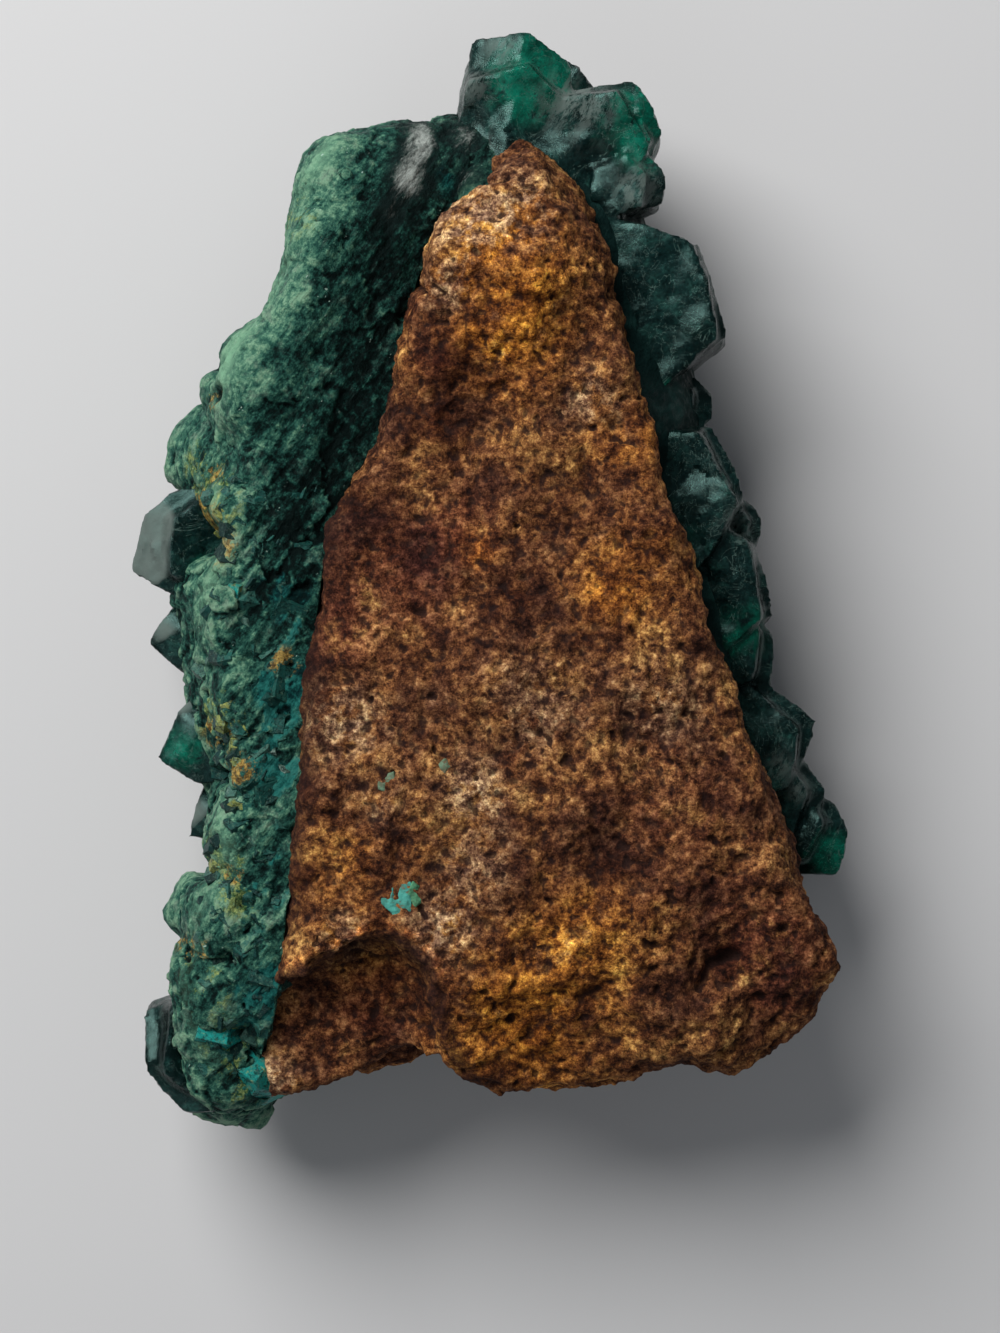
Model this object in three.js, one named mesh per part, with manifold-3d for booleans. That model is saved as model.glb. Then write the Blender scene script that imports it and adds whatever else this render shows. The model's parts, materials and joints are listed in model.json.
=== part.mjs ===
// A dioptase specimen: a wedge of brown, sandy matrix rock set in a crust of green dioptase.
// The matrix shows on top and at the broken front end. The crust wraps its two sides, its narrow
// back end and its underside: a massive rind from which stout hexagonal crystals grow outwards and
// downwards. The specimen lies on the worn tips of a few of the lowest crystals.
// Millimetres, +Z up. X runs across the specimen and +Y points to its narrow end.
// The origin is the centre of the bounding box at its lowest level.
import * as THREE from "three";
import { mergeVertices } from "three/addons/utils/BufferGeometryUtils.js";
import { ImprovedNoise } from "three/addons/math/ImprovedNoise.js";
import Module from "manifold-3d";

const wasm = await Module();
wasm.setup();

// ---------------------------------------------------------------- driving dimensions

const BOND_GAP = 0.35; // left between the matrix and the crust that holds it
const OPENING_LEVEL = 17.6; // above this the crust's opening is as wide as the matrix

// Each rounded body is given by its outline seen from above, clockwise, and by its profile: shares
// of its reach and of its height, from the top's centre round the side to the underside's centre.
// taper is half its width at two places along Y, swells are broad bumps and hollows of its top,
// and relief and grain are the depth and size of its lumps.
const MATRIX = {
  detail: 8,
  low: 8.4,
  high: 20.2,
  centre: [3, -6],
  taper: [[-30, 19], [24, 6]],
  relief: 1,
  grain: 4.4,
  outline: [
    [2.3, 27.3], [4.4, 25.2], [6, 22.8], [7.3, 20], [8.3, 15.4], [9.2, 10.4], [10.7, 5.4],
    [12.6, 0.4], [14.5, -5.2], [16.3, -10.2], [18.8, -16.8], [20.8, -21.4], [22.3, -25.5],
    [21, -27.5], [18.8, -28.8], [16.9, -31], [14.6, -31.6], [12.2, -30.5], [8.2, -31.9],
    [2.3, -32.7], [-1.6, -31.5], [-4, -29.8], [-9.2, -32], [-15.2, -33.6], [-14.9, -30.2],
    [-13.8, -26.4], [-13.3, -22], [-12.5, -16], [-11.8, -8], [-11.1, -0.4], [-9.9, 4.8],
    [-6.8, 9.1], [-5.8, 14.1], [-5, 18.4], [-3.4, 22], [-0.6, 24.6],
  ],
  profile: [
    [0, 1], [0.5, 1], [0.88, 0.99], [0.97, 0.94], [1, 0.82], [0.99, 0.5], [0.93, 0.16],
    [0.78, 0.02], [0.4, 0], [0, 0],
  ],
  swells: [
    { at: [1, 19], radius: 6, rise: 2.4 }, // the boss near the narrow end
    { at: [-2.6, 8], radius: 5, rise: -1.6 }, // the hollow beside it
    { at: [4, -8], radius: 8, rise: 0.9 },
    { at: [-7, -15], radius: 4.5, rise: 0.7 },
    { at: [13.6, -23], radius: 3, rise: -1.3 }, // a shallow pit
    { at: [5, -34], radius: 6.5, rise: -4.4 }, // the rolled front edge
    { at: [19, -31], radius: 7, rise: -4.6 }, // the corner that falls away
    { at: [23, -19], radius: 5, rise: -1.6 },
  ],
};
const RIND = {
  detail: 8,
  low: 6,
  high: 18.6,
  centre: [-0.5, -3],
  taper: [[-30, 19], [26, 11]],
  relief: 1.5,
  grain: 4.2,
  outline: [
    [0, 29.6], [5, 30], [8, 27.6], [9, 23.6], [10.6, 20], [12.2, 14.5], [13, 9.5], [14.6, 4],
    [16.2, -2], [17.2, -8], [18.8, -13], [19.6, -18], [18.6, -22.5], [15, -26], [8, -27.2],
    [0, -27], [-7, -29], [-13, -32.6], [-16.4, -34], [-19.6, -32.6], [-20.4, -29], [-19, -25],
    [-19.6, -21], [-18.2, -17.5], [-18, -13], [-19, -9], [-19.6, -4], [-20, 2], [-18.8, 6],
    [-17, 9.6], [-15.8, 13], [-13.6, 17], [-12.4, 20.5], [-12.2, 24], [-10.6, 27], [-8, 28.4],
    [-4.6, 27.8], [-2.4, 28.8],
  ],
  profile: [
    [0, 1], [0.5, 1], [0.72, 0.97], [0.87, 0.82], [0.96, 0.58], [1, 0.38], [0.95, 0.16],
    [0.78, 0.03], [0.4, 0], [0, 0],
  ],
  swells: [
    { at: [-4.5, 19], radius: 3.4, rise: -2.4 }, // the trough beside the boss
    { at: [-12, 15], radius: 5, rise: 1.4 }, // the ridge outside it
    { at: [-15.5, 0], radius: 6, rise: 1 },
    { at: [11, 18], radius: 6, rise: -3.4 }, // the low side, where crystals stand above it
    { at: [14, 4], radius: 7, rise: -3.6 },
    { at: [18, -11], radius: 7, rise: -4.6 },
    { at: [5, 30], radius: 7, rise: -3.6 },
    { at: [-19, -34], radius: 6, rise: -4.6 },
  ],
};

// The step broken out of the matrix at its front corner: this body is the rock that is missing.
const STEP = {
  detail: 5,
  low: 15.2,
  high: 30,
  centre: [-11, -31],
  taper: [[-40, 10], [-22, 10]],
  relief: 0.8,
  grain: 3.4,
  outline: [
    [-13.4, -24.6], [-10.6, -23.4], [-7.6, -22.2], [-5.4, -22.3], [-4, -24.4], [-3.6, -27],
    [-3.4, -31], [-3.4, -40], [-22, -40], [-22, -27],
  ],
  profile: [
    [0, 1], [0.5, 1], [1, 1], [1, 0.6], [1, 0.4], [0.98, 0.16], [0.86, 0.03], [0.5, 0], [0, 0],
  ],
  swells: [],
};
const STEP_DIP = THREE.MathUtils.degToRad(6); // how steeply its floor falls towards the front

// Rounded bodies are drawn at this scale, whatever their own length and reach are.
const HALF_LENGTH = 32;
const PROFILE_REACH = 18;
const OUTLINE_STEPS = 720;
const TAPER_LIMITS = [0.8, 1.2]; // of the narrow and the wide half width
// The shares of a ball's vertices that go to the flat top and to the underside.
const TOP_VERTICES = 0.64;
const UNDERSIDE_VERTICES = 0.14;

// The ridge of massive crust along the high side, from the narrow end forwards. Knobs are sunk in it
// on both sides of its line.
const RIDGE = [
  [-8.2, 25, 17.6], [-9.4, 20, 19], [-10.6, 15.5, 19.8], [-13.2, 10.5, 19.4], [-14.6, 4, 19.6],
  [-14.8, -3, 19.8], [-15, -11, 19.4], [-14.8, -18, 19], [-15.6, -26, 17.4],
];
const KNOB_COUNT = 12;
const KNOB_SIZE = [2.6, 3.9];
const KNOB_STRAY = 1.6; // how far a knob's middle lies to either side of the ridge
const KNOB_HEIGHT = 1.4; // half height over half width
const KNOB_LENGTH = 1.1; // half length over half width
const KNOB_FALL = 0.3; // how much lower it stands for each millimetre of stray
const KNOB_ROUGHNESS = 0.4;
const KNOB_GRAIN = 3.2;

// Crystals that make the specimen's edge. at is the middle of a crystal's axis and width is across
// two opposite sides. The axis leans out from straight down towards heading, and before it leans
// one edge of the crystal faces turn. Angles are anticlockwise from +X.
const EDGE_CRYSTALS = [
  // narrow end
  { at: [1.6, 31, 10.4], width: 6.8, length: 10, heading: 88, lean: 24, turn: 75 },
  { at: [7.2, 28.6, 10.6], width: 6.4, length: 10, heading: 40, lean: 14, turn: 5 },
  { at: [8.8, 24.8, 12.6], width: 3.4, length: 7, heading: 10, lean: 16, turn: 20 },
  { at: [-3.4, 28.3, 11.4], width: 4, length: 8, heading: 112, lean: 34, turn: 12 },
  { at: [-5.4, 26.3, 14.6], width: 4.4, length: 7, heading: 100, lean: 16, turn: 40 },
  { at: [-1.4, 27.2, 14], width: 3.6, length: 6, heading: 80, lean: 24, turn: 8 },
  { at: [4.4, 30.4, 7.4], width: 5.4, length: 8, heading: 70, lean: 50, turn: 33 },
  // low side, from the narrow end forwards
  { at: [9.2, 17.6, 9.6], width: 10.8, length: 12, heading: 14, lean: 7, turn: 43 },
  { at: [12.3, 11.4, 9.8], width: 3, length: 6, heading: -10, lean: 16, turn: 20 },
  { at: [11.2, 4.9, 9.6], width: 9.4, length: 12, heading: 28, lean: 9, turn: -2 },
  { at: [15.6, 3.2, 10.4], width: 2.8, length: 5, heading: 0, lean: 18, turn: 12 },
  { at: [13.4, -1.1, 9], width: 8.6, length: 11, heading: 10, lean: 9, turn: 40 },
  { at: [14.8, -4.9, 8.8], width: 6, length: 10, heading: -8, lean: 12, turn: 20 },
  { at: [17, -10.3, 8.4], width: 6.8, length: 10, heading: 20, lean: 10, turn: 79 },
  { at: [18.2, -14, 8], width: 5.2, length: 9, heading: 0, lean: 14, turn: 10 },
  { at: [20.2, -16.8, 7.8], width: 4.8, length: 8, heading: -24, lean: 24, turn: 4 },
  // high side, from the narrow end forwards
  { at: [-16.6, 12.4, 10.6], width: 3.6, length: 6, heading: 158, lean: 40, turn: 15 },
  { at: [-18.2, 8, 9.6], width: 4.6, length: 8, heading: 166, lean: 34, turn: 35 },
  { at: [-19.6, 2.4, 8.6], width: 6.4, length: 10, heading: 178, lean: 22, turn: 28 },
  { at: [-18.9, -3.6, 8], width: 5.2, length: 8, heading: 176, lean: 30, turn: 8 },
  { at: [-18.2, -10.4, 8.6], width: 5.4, length: 9, heading: 186, lean: 36, turn: 21 },
  { at: [-17.4, -15.4, 8.8], width: 4, length: 7, heading: 178, lean: 40, turn: 40 },
  { at: [-18.2, -21.4, 8], width: 4.8, length: 7, heading: 182, lean: 34, turn: 11 },
  { at: [-19.2, -30.6, 7.6], width: 7.6, length: 9, heading: 188, lean: 22, turn: 174 },
  { at: [-16.8, -33.2, 8.4], width: 4.4, length: 7, heading: 262, lean: 40, turn: 14 },
];
const TERMINATION_SLOPE = THREE.MathUtils.degToRad(51); // an end face against the axis's square
const UNEVENNESS = 0.07; // how far the end faces of a crystal differ, over its width
const ROOT_WIDTH = 0.97; // a crystal's width at its root, over that near its tip
const REPEAT_TURN = 120; // a crystal turned this far about its axis looks the same

// The rest of the crust's crystals. Those of the underside stand at the points of a honeycomb, and
// those of the sides in rows round the rind's outline. Each strays a little from its place.
const HONEYCOMB = 6.3; // between neighbours in a row
const HONEYCOMB_ROWS = 6; // to each side of the middle row
const HONEYCOMB_COLUMNS = 4;
const UNDERSIDE_WIDTH = [5.4, 8.4];
const UNDERSIDE_TIPS = [0.5, 3]; // levels at which they end
const UNDERSIDE_LEAN = 22;
const SIDE_ROWS = [
  { level: 9.2, lean: 76, proud: 0.2 },
  { level: 6.4, lean: 48, proud: 0.2 },
];
const SIDE_SPACING = 6.2;
const SIDE_WIDTH = [4.6, 7];
const SIDE_LEAN_STRAY = 10;
const LENGTH_OVER_WIDTH = 1.3;
const STRAY = 1;
const KEEP_CLEAR = 3.6; // none starts nearer than this, seen from above, to a crystal given by hand
const LOWEST_TIP = 0.4; // every crystal but the feet ends at least this high

// The crystals that carry the specimen: where they stand, and how much of each tip is worn off.
const FEET = [[-16, -27], [14, -21], [-1, -19], [-14, 1], [11, 3], [-5, 21], [5, 22]];
const FOOT_WIDTH = 7;
const FOOT_LENGTH = 9;
const FOOT_WEAR = 1.2;
const FOOT_LEAN = 5;

// Small crystals sunk in the matrix's top face: where, how wide, how far they stand out of it.
const CHIPS = [
  { name: "turquoise_chip", at: [-5.4, -19.8], width: 2.3, proud: 0.7, turn: 12, colour: 0x35b59c },
  { name: "green_chip", at: [-3.7, -19.2], width: 1.5, proud: 0.6, turn: 40, colour: 0x4d9f78 },
  { name: "left_speck", at: [-6.5, -12.2], width: 1.3, proud: 0.3, turn: 3, colour: 0x5b8a6c },
  { name: "right_speck", at: [-3, -11.3], width: 1.2, proud: 0.3, turn: 25, colour: 0x6d9a70 },
];
const CHIP_DEPTH = 1.6; // how far a chip reaches down into the matrix
const CHIP_TOP = 0.8; // its width at the top, over that at the bottom
const CHIP_GAP = 0.3;

const MATRIX_LOOK = { colour: 0x8a5f38, roughness: 0.95 };
const CRUST_LOOK = { colour: 0x1c6b55, roughness: 0.35 };
const CHIP_ROUGHNESS = 0.3;

// ---------------------------------------------------------------- numbers

const noise = new ImprovedNoise();

// Layered noise, about -1 to 1, over features of the given size and finer.
function roughness(p, size) {
  const layer = (scale) => noise.noise(p.x / scale, p.y / scale, p.z / scale);
  return layer(size) + 0.5 * layer(size / 2.1) + 0.25 * layer(size / 4.3);
}

// A repeatable stream of numbers from 0 to 1, and three draws from such a stream.
function randomFrom(seed) {
  let state = seed;
  return () => {
    state = (state + 0x6d2b79f5) | 0;
    let t = Math.imul(state ^ (state >>> 15), 1 | state);
    t = (t + Math.imul(t ^ (t >>> 7), 61 | t)) ^ t;
    return ((t ^ (t >>> 14)) >>> 0) / 4294967296;
  };
}
const between = (random, [low, high]) => low + (high - low) * random();
const stray = (random, most) => most * (2 * random() - 1);
const anyTurn = (random) => REPEAT_TURN * random();

function swellAt(swells, x, y) {
  const heights = swells.map(({ at, radius, rise }) => {
    const away = (x - at[0]) ** 2 + (y - at[1]) ** 2;
    return rise * Math.exp(-away / radius ** 2);
  });
  return heights.reduce((sum, height) => sum + height, 0);
}

// ---------------------------------------------------------------- solids and geometries

function solidOf(geometry) {
  const plain = geometry.clone();
  plain.deleteAttribute("normal");
  plain.deleteAttribute("uv");
  const merged = mergeVertices(plain, 1e-4);
  return new wasm.Manifold(
    new wasm.Mesh({
      numProp: 3,
      vertProperties: new Float32Array(merged.attributes.position.array),
      triVerts: new Uint32Array(merged.index.array),
    }),
  );
}

function geometryOf(solid) {
  const mesh = solid.getMesh();
  const positions = new Float32Array(mesh.numVert * 3);
  for (let i = 0; i < mesh.numVert; i++) {
    const start = i * mesh.numProp;
    positions.set(mesh.vertProperties.subarray(start, start + 3), i * 3);
  }
  return new THREE.BufferGeometry()
    .setAttribute("position", new THREE.BufferAttribute(positions, 3))
    .setIndex(new THREE.BufferAttribute(new Uint32Array(mesh.triVerts), 1));
}

// The largest of a solid's separate bodies: booleans can leave a crumb beside it.
function largestBody(solid) {
  return solid.decompose().reduce((a, b) => (a.volume() > b.volume() ? a : b));
}

function movedVertices(geometry, move) {
  const { position } = geometry.attributes;
  const p = new THREE.Vector3();
  for (let i = 0; i < position.count; i++) {
    p.fromBufferAttribute(position, i);
    move(p, i);
    position.setXYZ(i, p.x, p.y, p.z);
  }
  return geometry;
}

// ---------------------------------------------------------------- rounded bodies

function halfWidthAt({ taper }, y) {
  const [[front, wide], [back, narrow]] = taper;
  const width = THREE.MathUtils.mapLinear(y, front, back, wide, narrow);
  return THREE.MathUtils.clamp(width, TAPER_LIMITS[0] * narrow, TAPER_LIMITS[1] * wide);
}

// How far a body's outline reaches from its centre at each angle, in coordinates that undo its
// taper, so that a long wedge is nearly round in them.
function reachOf(body) {
  const [cx, cy] = body.centre;
  const corners = body.outline.map(([x, y]) => new THREE.Vector3(x, y, 0));
  const rim = new THREE.CatmullRomCurve3(corners, true, "centripetal")
    .getPoints(OUTLINE_STEPS)
    .map(({ x, y }) => new THREE.Vector2((x - cx) / halfWidthAt(body, y), (y - cy) / HALF_LENGTH))
    .map((p) => ({ angle: Math.atan2(p.y, p.x), reach: p.length() }))
    .sort((a, b) => a.angle - b.angle);
  return (angle) => {
    const after = Math.max(rim.findIndex((r) => r.angle >= angle), 0);
    const before = (after + rim.length - 1) % rim.length;
    const span = rim[after].angle - rim[before].angle;
    const share = span > 0 ? (angle - rim[before].angle) / span : 0;
    return THREE.MathUtils.lerp(rim[before].reach, rim[after].reach, share);
  };
}

// How far along a body's profile a vertex goes, from the share of a ball's vertices above it. It
// spreads them evenly over a flat top, a side and a flat underside.
function alongProfile(shareAbove, topEnd, sideEnd) {
  if (shareAbove < TOP_VERTICES) return topEnd * Math.sqrt(shareAbove / TOP_VERTICES);
  const below = 1 - shareAbove;
  if (below < UNDERSIDE_VERTICES) {
    return 1 - (1 - sideEnd) * Math.sqrt(below / UNDERSIDE_VERTICES);
  }
  return THREE.MathUtils.mapLinear(
    shareAbove, TOP_VERTICES, 1 - UNDERSIDE_VERTICES, topEnd, sideEnd,
  );
}

// A ball drawn over a body's outline and profile, then roughened and, with grow, thickened.
function roundedBody(body, { detail = body.detail, grow = 0 } = {}) {
  const ball = new THREE.IcosahedronGeometry(1, detail);
  ball.deleteAttribute("normal");
  ball.deleteAttribute("uv");
  const geometry = mergeVertices(ball, 1e-4);
  const reach = reachOf(body);
  const height = body.high - body.low;
  const side = new THREE.SplineCurve(
    body.profile.map(([share, level]) => new THREE.Vector2(share * PROFILE_REACH, level * height)),
  );
  const length = side.getLength();
  const [topEnd, sideEnd] = [PROFILE_REACH / length, (length - PROFILE_REACH) / length];
  const [cx, cy] = body.centre;
  movedVertices(geometry, (p) => {
    const shareAbove = (1 - THREE.MathUtils.clamp(p.z, -1, 1)) / 2;
    const along = alongProfile(shareAbove, topEnd, sideEnd);
    const at = side.getPointAt(THREE.MathUtils.clamp(along, 0, 1));
    const around = Math.atan2(p.y, p.x);
    const out = (at.x / PROFILE_REACH) * reach(around);
    p.y = cy + HALF_LENGTH * out * Math.sin(around);
    p.x = cx + halfWidthAt(body, p.y) * out * Math.cos(around);
    p.z = body.low + (at.y / height) * (height + swellAt(body.swells, p.x, p.y));
  });
  geometry.computeVertexNormals();
  const { normal } = geometry.attributes;
  const n = new THREE.Vector3();
  return movedVertices(geometry, (p, i) => {
    n.fromBufferAttribute(normal, i);
    p.addScaledVector(n, grow + body.relief * roughness(p, body.grain));
  });
}

// ---------------------------------------------------------------- crystals

// A hexagonal prism that ends downwards in three sloping faces. Its axis is centred on the origin,
// and two of its edges face along X.
function crystalSolid(width, length, random) {
  const radius = width / 2 / Math.cos(Math.PI / 6);
  const prism = new THREE.CylinderGeometry(radius * ROOT_WIDTH, radius, length, 6)
    .rotateX(Math.PI / 2)
    .rotateZ(Math.PI / 6);
  let crystal = solidOf(prism);
  for (let face = 0; face < 3; face++) {
    const azimuth = (face * 2 * Math.PI) / 3;
    const inward = [
      -Math.sin(TERMINATION_SLOPE) * Math.cos(azimuth),
      -Math.sin(TERMINATION_SLOPE) * Math.sin(azimuth),
      Math.cos(TERMINATION_SLOPE),
    ];
    const throughTip = (-length / 2) * Math.cos(TERMINATION_SLOPE);
    crystal = crystal.trimByPlane(inward, throughTip + UNEVENNESS * width * random());
  }
  return crystal;
}

// Puts a crystal's middle at a place, turned about its axis and then leaned out from straight down.
function hung(crystal, middle, { heading, lean, turn }) {
  const radians = THREE.MathUtils.degToRad;
  const across = new THREE.Vector3(Math.sin(radians(heading)), -Math.cos(radians(heading)), 0);
  const tilt = new THREE.Quaternion().setFromAxisAngle(across, radians(lean));
  const turned = new THREE.Quaternion().setFromAxisAngle(new THREE.Vector3(0, 0, 1), radians(turn));
  const placed = new THREE.Matrix4().compose(
    middle, tilt.multiply(turned), new THREE.Vector3(1, 1, 1),
  );
  return crystal.transform(placed.elements);
}

function edgeCrystals(random) {
  return EDGE_CRYSTALS.map(({ at, width, length, heading, lean, turn }) =>
    hung(crystalSolid(width, length, random), new THREE.Vector3(...at), { heading, lean, turn }),
  );
}

function lifted(crystal) {
  const lowest = crystal.boundingBox().min[2];
  return crystal.translate([0, 0, Math.max(0, LOWEST_TIP - lowest)]);
}

// Whether a place is inside an outline.
function isInside(outline, x, y) {
  const crossings = outline.filter(([x1, y1], i) => {
    const [x2, y2] = outline[(i + 1) % outline.length];
    return y1 > y !== y2 > y && x < x1 + ((y - y1) / (y2 - y1)) * (x2 - x1);
  });
  return crossings.length % 2 === 1;
}

// Whether a place is clear of the edge crystals and the feet.
function isFree(x, y) {
  const taken = [...EDGE_CRYSTALS.map(({ at }) => at), ...FEET];
  return taken.every(([tx, ty]) => Math.hypot(tx - x, ty - y) >= KEEP_CLEAR);
}

function undersideCrystals(random) {
  const crystals = [];
  for (let row = -HONEYCOMB_ROWS; row <= HONEYCOMB_ROWS; row++) {
    for (let column = -HONEYCOMB_COLUMNS; column <= HONEYCOMB_COLUMNS; column++) {
      const x = HONEYCOMB * (column + (row % 2) / 2) + stray(random, STRAY);
      const y = HONEYCOMB * row * Math.sin(Math.PI / 3) + stray(random, STRAY);
      const width = between(random, UNDERSIDE_WIDTH);
      const length = width * LENGTH_OVER_WIDTH;
      const middle = new THREE.Vector3(x, y, between(random, UNDERSIDE_TIPS) + length / 2);
      const pose = {
        heading: 360 * random(), lean: UNDERSIDE_LEAN * random(), turn: anyTurn(random),
      };
      if (!isInside(RIND.outline, x, y) || !isFree(x, y)) continue;
      crystals.push(hung(crystalSolid(width, length, random), middle, pose));
    }
  }
  return crystals;
}

function sideCrystals(random) {
  const rim = new THREE.Path(RIND.outline.map((p) => new THREE.Vector2(...p))).closePath();
  const count = Math.round(rim.getLength() / SIDE_SPACING);
  const crystals = [];
  for (const { level, lean, proud } of SIDE_ROWS) {
    for (let i = 0; i < count; i++) {
      const share = (i + random()) / count;
      const { x, y } = rim.getPointAt(share);
      const along = rim.getTangentAt(share);
      const width = between(random, SIDE_WIDTH);
      const length = width * LENGTH_OVER_WIDTH;
      const inward = (length / 2) * Math.sin(THREE.MathUtils.degToRad(lean));
      const out = proud + STRAY * random() - inward;
      const middle = new THREE.Vector3(
        x - along.y * out, y + along.x * out, level + stray(random, STRAY),
      );
      const pose = {
        heading: THREE.MathUtils.radToDeg(Math.atan2(along.x, -along.y)),
        lean: lean + stray(random, SIDE_LEAN_STRAY),
        turn: anyTurn(random),
      };
      if (!isFree(middle.x, middle.y)) continue;
      crystals.push(hung(crystalSolid(width, length, random), middle, pose));
    }
  }
  return crystals;
}

function feet(random) {
  return FEET.map(([x, y]) =>
    hung(
      crystalSolid(FOOT_WIDTH, FOOT_LENGTH, random),
      new THREE.Vector3(x, y, FOOT_LENGTH / 2 - FOOT_WEAR),
      { heading: 360 * random(), lean: FOOT_LEAN * random(), turn: anyTurn(random) },
    ),
  );
}

// ---------------------------------------------------------------- the pieces

function chipSolid({ at: [x, y], width, proud, turn }, grow) {
  const height = CHIP_DEPTH + proud;
  const radius = width / 2 + grow;
  const surface = MATRIX.high + swellAt(MATRIX.swells, x, y);
  const block = new THREE.CylinderGeometry(radius * CHIP_TOP, radius, height + 2 * grow, 6)
    .rotateX(Math.PI / 2)
    .rotateZ(THREE.MathUtils.degToRad(turn))
    .translate(x, y, surface + proud - height / 2);
  return solidOf(block);
}

function matrixSolid() {
  const [x, y] = STEP.centre;
  const step = roundedBody(STEP)
    .translate(-x, -y, -STEP.low)
    .rotateX(STEP_DIP)
    .translate(x, y, STEP.low);
  const pits = CHIPS.map((chip) => chipSolid(chip, CHIP_GAP));
  const rock = solidOf(roundedBody(MATRIX)).subtract(solidOf(step));
  return pits.reduce((left, pit) => left.subtract(pit), rock);
}

function knobSolids(random) {
  const ridge = new THREE.CatmullRomCurve3(RIDGE.map((p) => new THREE.Vector3(...p)));
  return ridge.getSpacedPoints(KNOB_COUNT - 1).map((crest) => {
    const half = between(random, KNOB_SIZE);
    const aside = stray(random, KNOB_STRAY);
    const centre = crest.clone();
    centre.x += aside;
    centre.z -= half * KNOB_HEIGHT + KNOB_FALL * Math.abs(aside);
    const halves = new THREE.Vector3(half, half * KNOB_LENGTH, half * KNOB_HEIGHT);
    const knob = movedVertices(new THREE.IcosahedronGeometry(1, 2), (p) => {
      const lumps = roughness(p.multiply(halves).clone().add(centre), KNOB_GRAIN);
      p.multiplyScalar(1 + KNOB_ROUGHNESS * lumps).add(centre);
    });
    return solidOf(knob);
  });
}

function openingSolid() {
  const [cx, cy] = MATRIX.centre;
  const rim = MATRIX.outline.map(([x, y]) => {
    const out = new THREE.Vector2(x - cx, y - cy);
    out.setLength(out.length() + BOND_GAP);
    return new THREE.Vector2(cx + out.x, cy + out.y);
  });
  const block = new THREE.ExtrudeGeometry(new THREE.Shape(rim), {
    depth: MATRIX.high, bevelEnabled: false,
  });
  return solidOf(block.translate(0, 0, OPENING_LEVEL));
}

function crustSolid() {
  const random = randomFrom(7);
  const rind = solidOf(roundedBody(RIND));
  const small = [...edgeCrystals(random), ...sideCrystals(random), ...undersideCrystals(random)];
  const parts = [rind, ...knobSolids(random), ...small.map(lifted), ...feet(random)];
  const socket = solidOf(roundedBody(MATRIX, { grow: BOND_GAP }));
  return wasm.Manifold.union(parts)
    .subtract(socket)
    .subtract(openingSolid())
    .trimByPlane([0, 0, 1], 0);
}

// ---------------------------------------------------------------- the model

function piece(name, solid, { colour, roughness }) {
  const material = new THREE.MeshStandardMaterial({
    color: colour, roughness, metalness: 0, flatShading: true,
  });
  const mesh = new THREE.Mesh(geometryOf(solid), material);
  mesh.name = name;
  return mesh;
}

const specimen = new THREE.Group();
specimen.name = "dioptase_specimen";
specimen.add(piece("matrix", largestBody(matrixSolid()), MATRIX_LOOK));
specimen.add(piece("dioptase_crust", largestBody(crustSolid()), CRUST_LOOK));
for (const chip of CHIPS) {
  const look = { colour: chip.colour, roughness: CHIP_ROUGHNESS };
  specimen.add(piece(chip.name, chipSolid(chip, 0), look));
}

const box = new THREE.Box3().setFromObject(specimen);
const middle = box.getCenter(new THREE.Vector3());
specimen.position.set(-middle.x, -middle.y, -box.min.z);

export default specimen;
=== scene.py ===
"""A dioptase specimen: brown, sandy matrix rock set in a crust of green dioptase.

The CAD frame gives the form. This script makes the surfaces: the matrix's sand grains and stains,
the crust's granular rind, the crystals that grow from it, and the small grains on the matrix.
Shapes are made in millimetres, in the coordinates that the CAD's own sizes are given in, and each
finished piece is moved into the frame and scaled to metres.
"""

import itertools
import json
import math

import bmesh
import bpy
import numpy as np
from mathutils import Matrix, Quaternion, Vector, noise
from mathutils.bvhtree import BVHTree

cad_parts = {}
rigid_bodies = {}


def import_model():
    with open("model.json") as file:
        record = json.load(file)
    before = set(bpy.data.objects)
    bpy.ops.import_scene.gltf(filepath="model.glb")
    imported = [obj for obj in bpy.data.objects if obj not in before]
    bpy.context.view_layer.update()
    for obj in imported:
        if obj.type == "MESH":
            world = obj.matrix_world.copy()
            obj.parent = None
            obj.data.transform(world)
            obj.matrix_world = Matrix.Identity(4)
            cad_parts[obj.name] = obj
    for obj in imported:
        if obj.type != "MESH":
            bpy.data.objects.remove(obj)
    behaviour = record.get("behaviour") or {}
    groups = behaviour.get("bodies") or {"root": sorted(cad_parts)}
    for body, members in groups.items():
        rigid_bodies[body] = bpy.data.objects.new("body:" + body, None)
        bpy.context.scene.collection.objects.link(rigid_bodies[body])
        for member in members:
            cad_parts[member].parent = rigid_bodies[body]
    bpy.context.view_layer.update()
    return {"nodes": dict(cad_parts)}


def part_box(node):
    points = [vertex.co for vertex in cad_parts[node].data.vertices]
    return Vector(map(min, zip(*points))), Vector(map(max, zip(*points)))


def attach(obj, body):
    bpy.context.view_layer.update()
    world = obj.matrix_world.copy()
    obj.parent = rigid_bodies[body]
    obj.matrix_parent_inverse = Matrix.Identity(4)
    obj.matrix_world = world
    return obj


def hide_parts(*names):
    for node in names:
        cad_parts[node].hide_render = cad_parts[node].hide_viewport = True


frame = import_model()

MM = 0.001

# ------------------------------------------------------------------ the CAD's sizes, repeated

TURQUOISE_AT = (-5.4, -19.8)  # where the CAD's own coordinates put this chip

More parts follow.
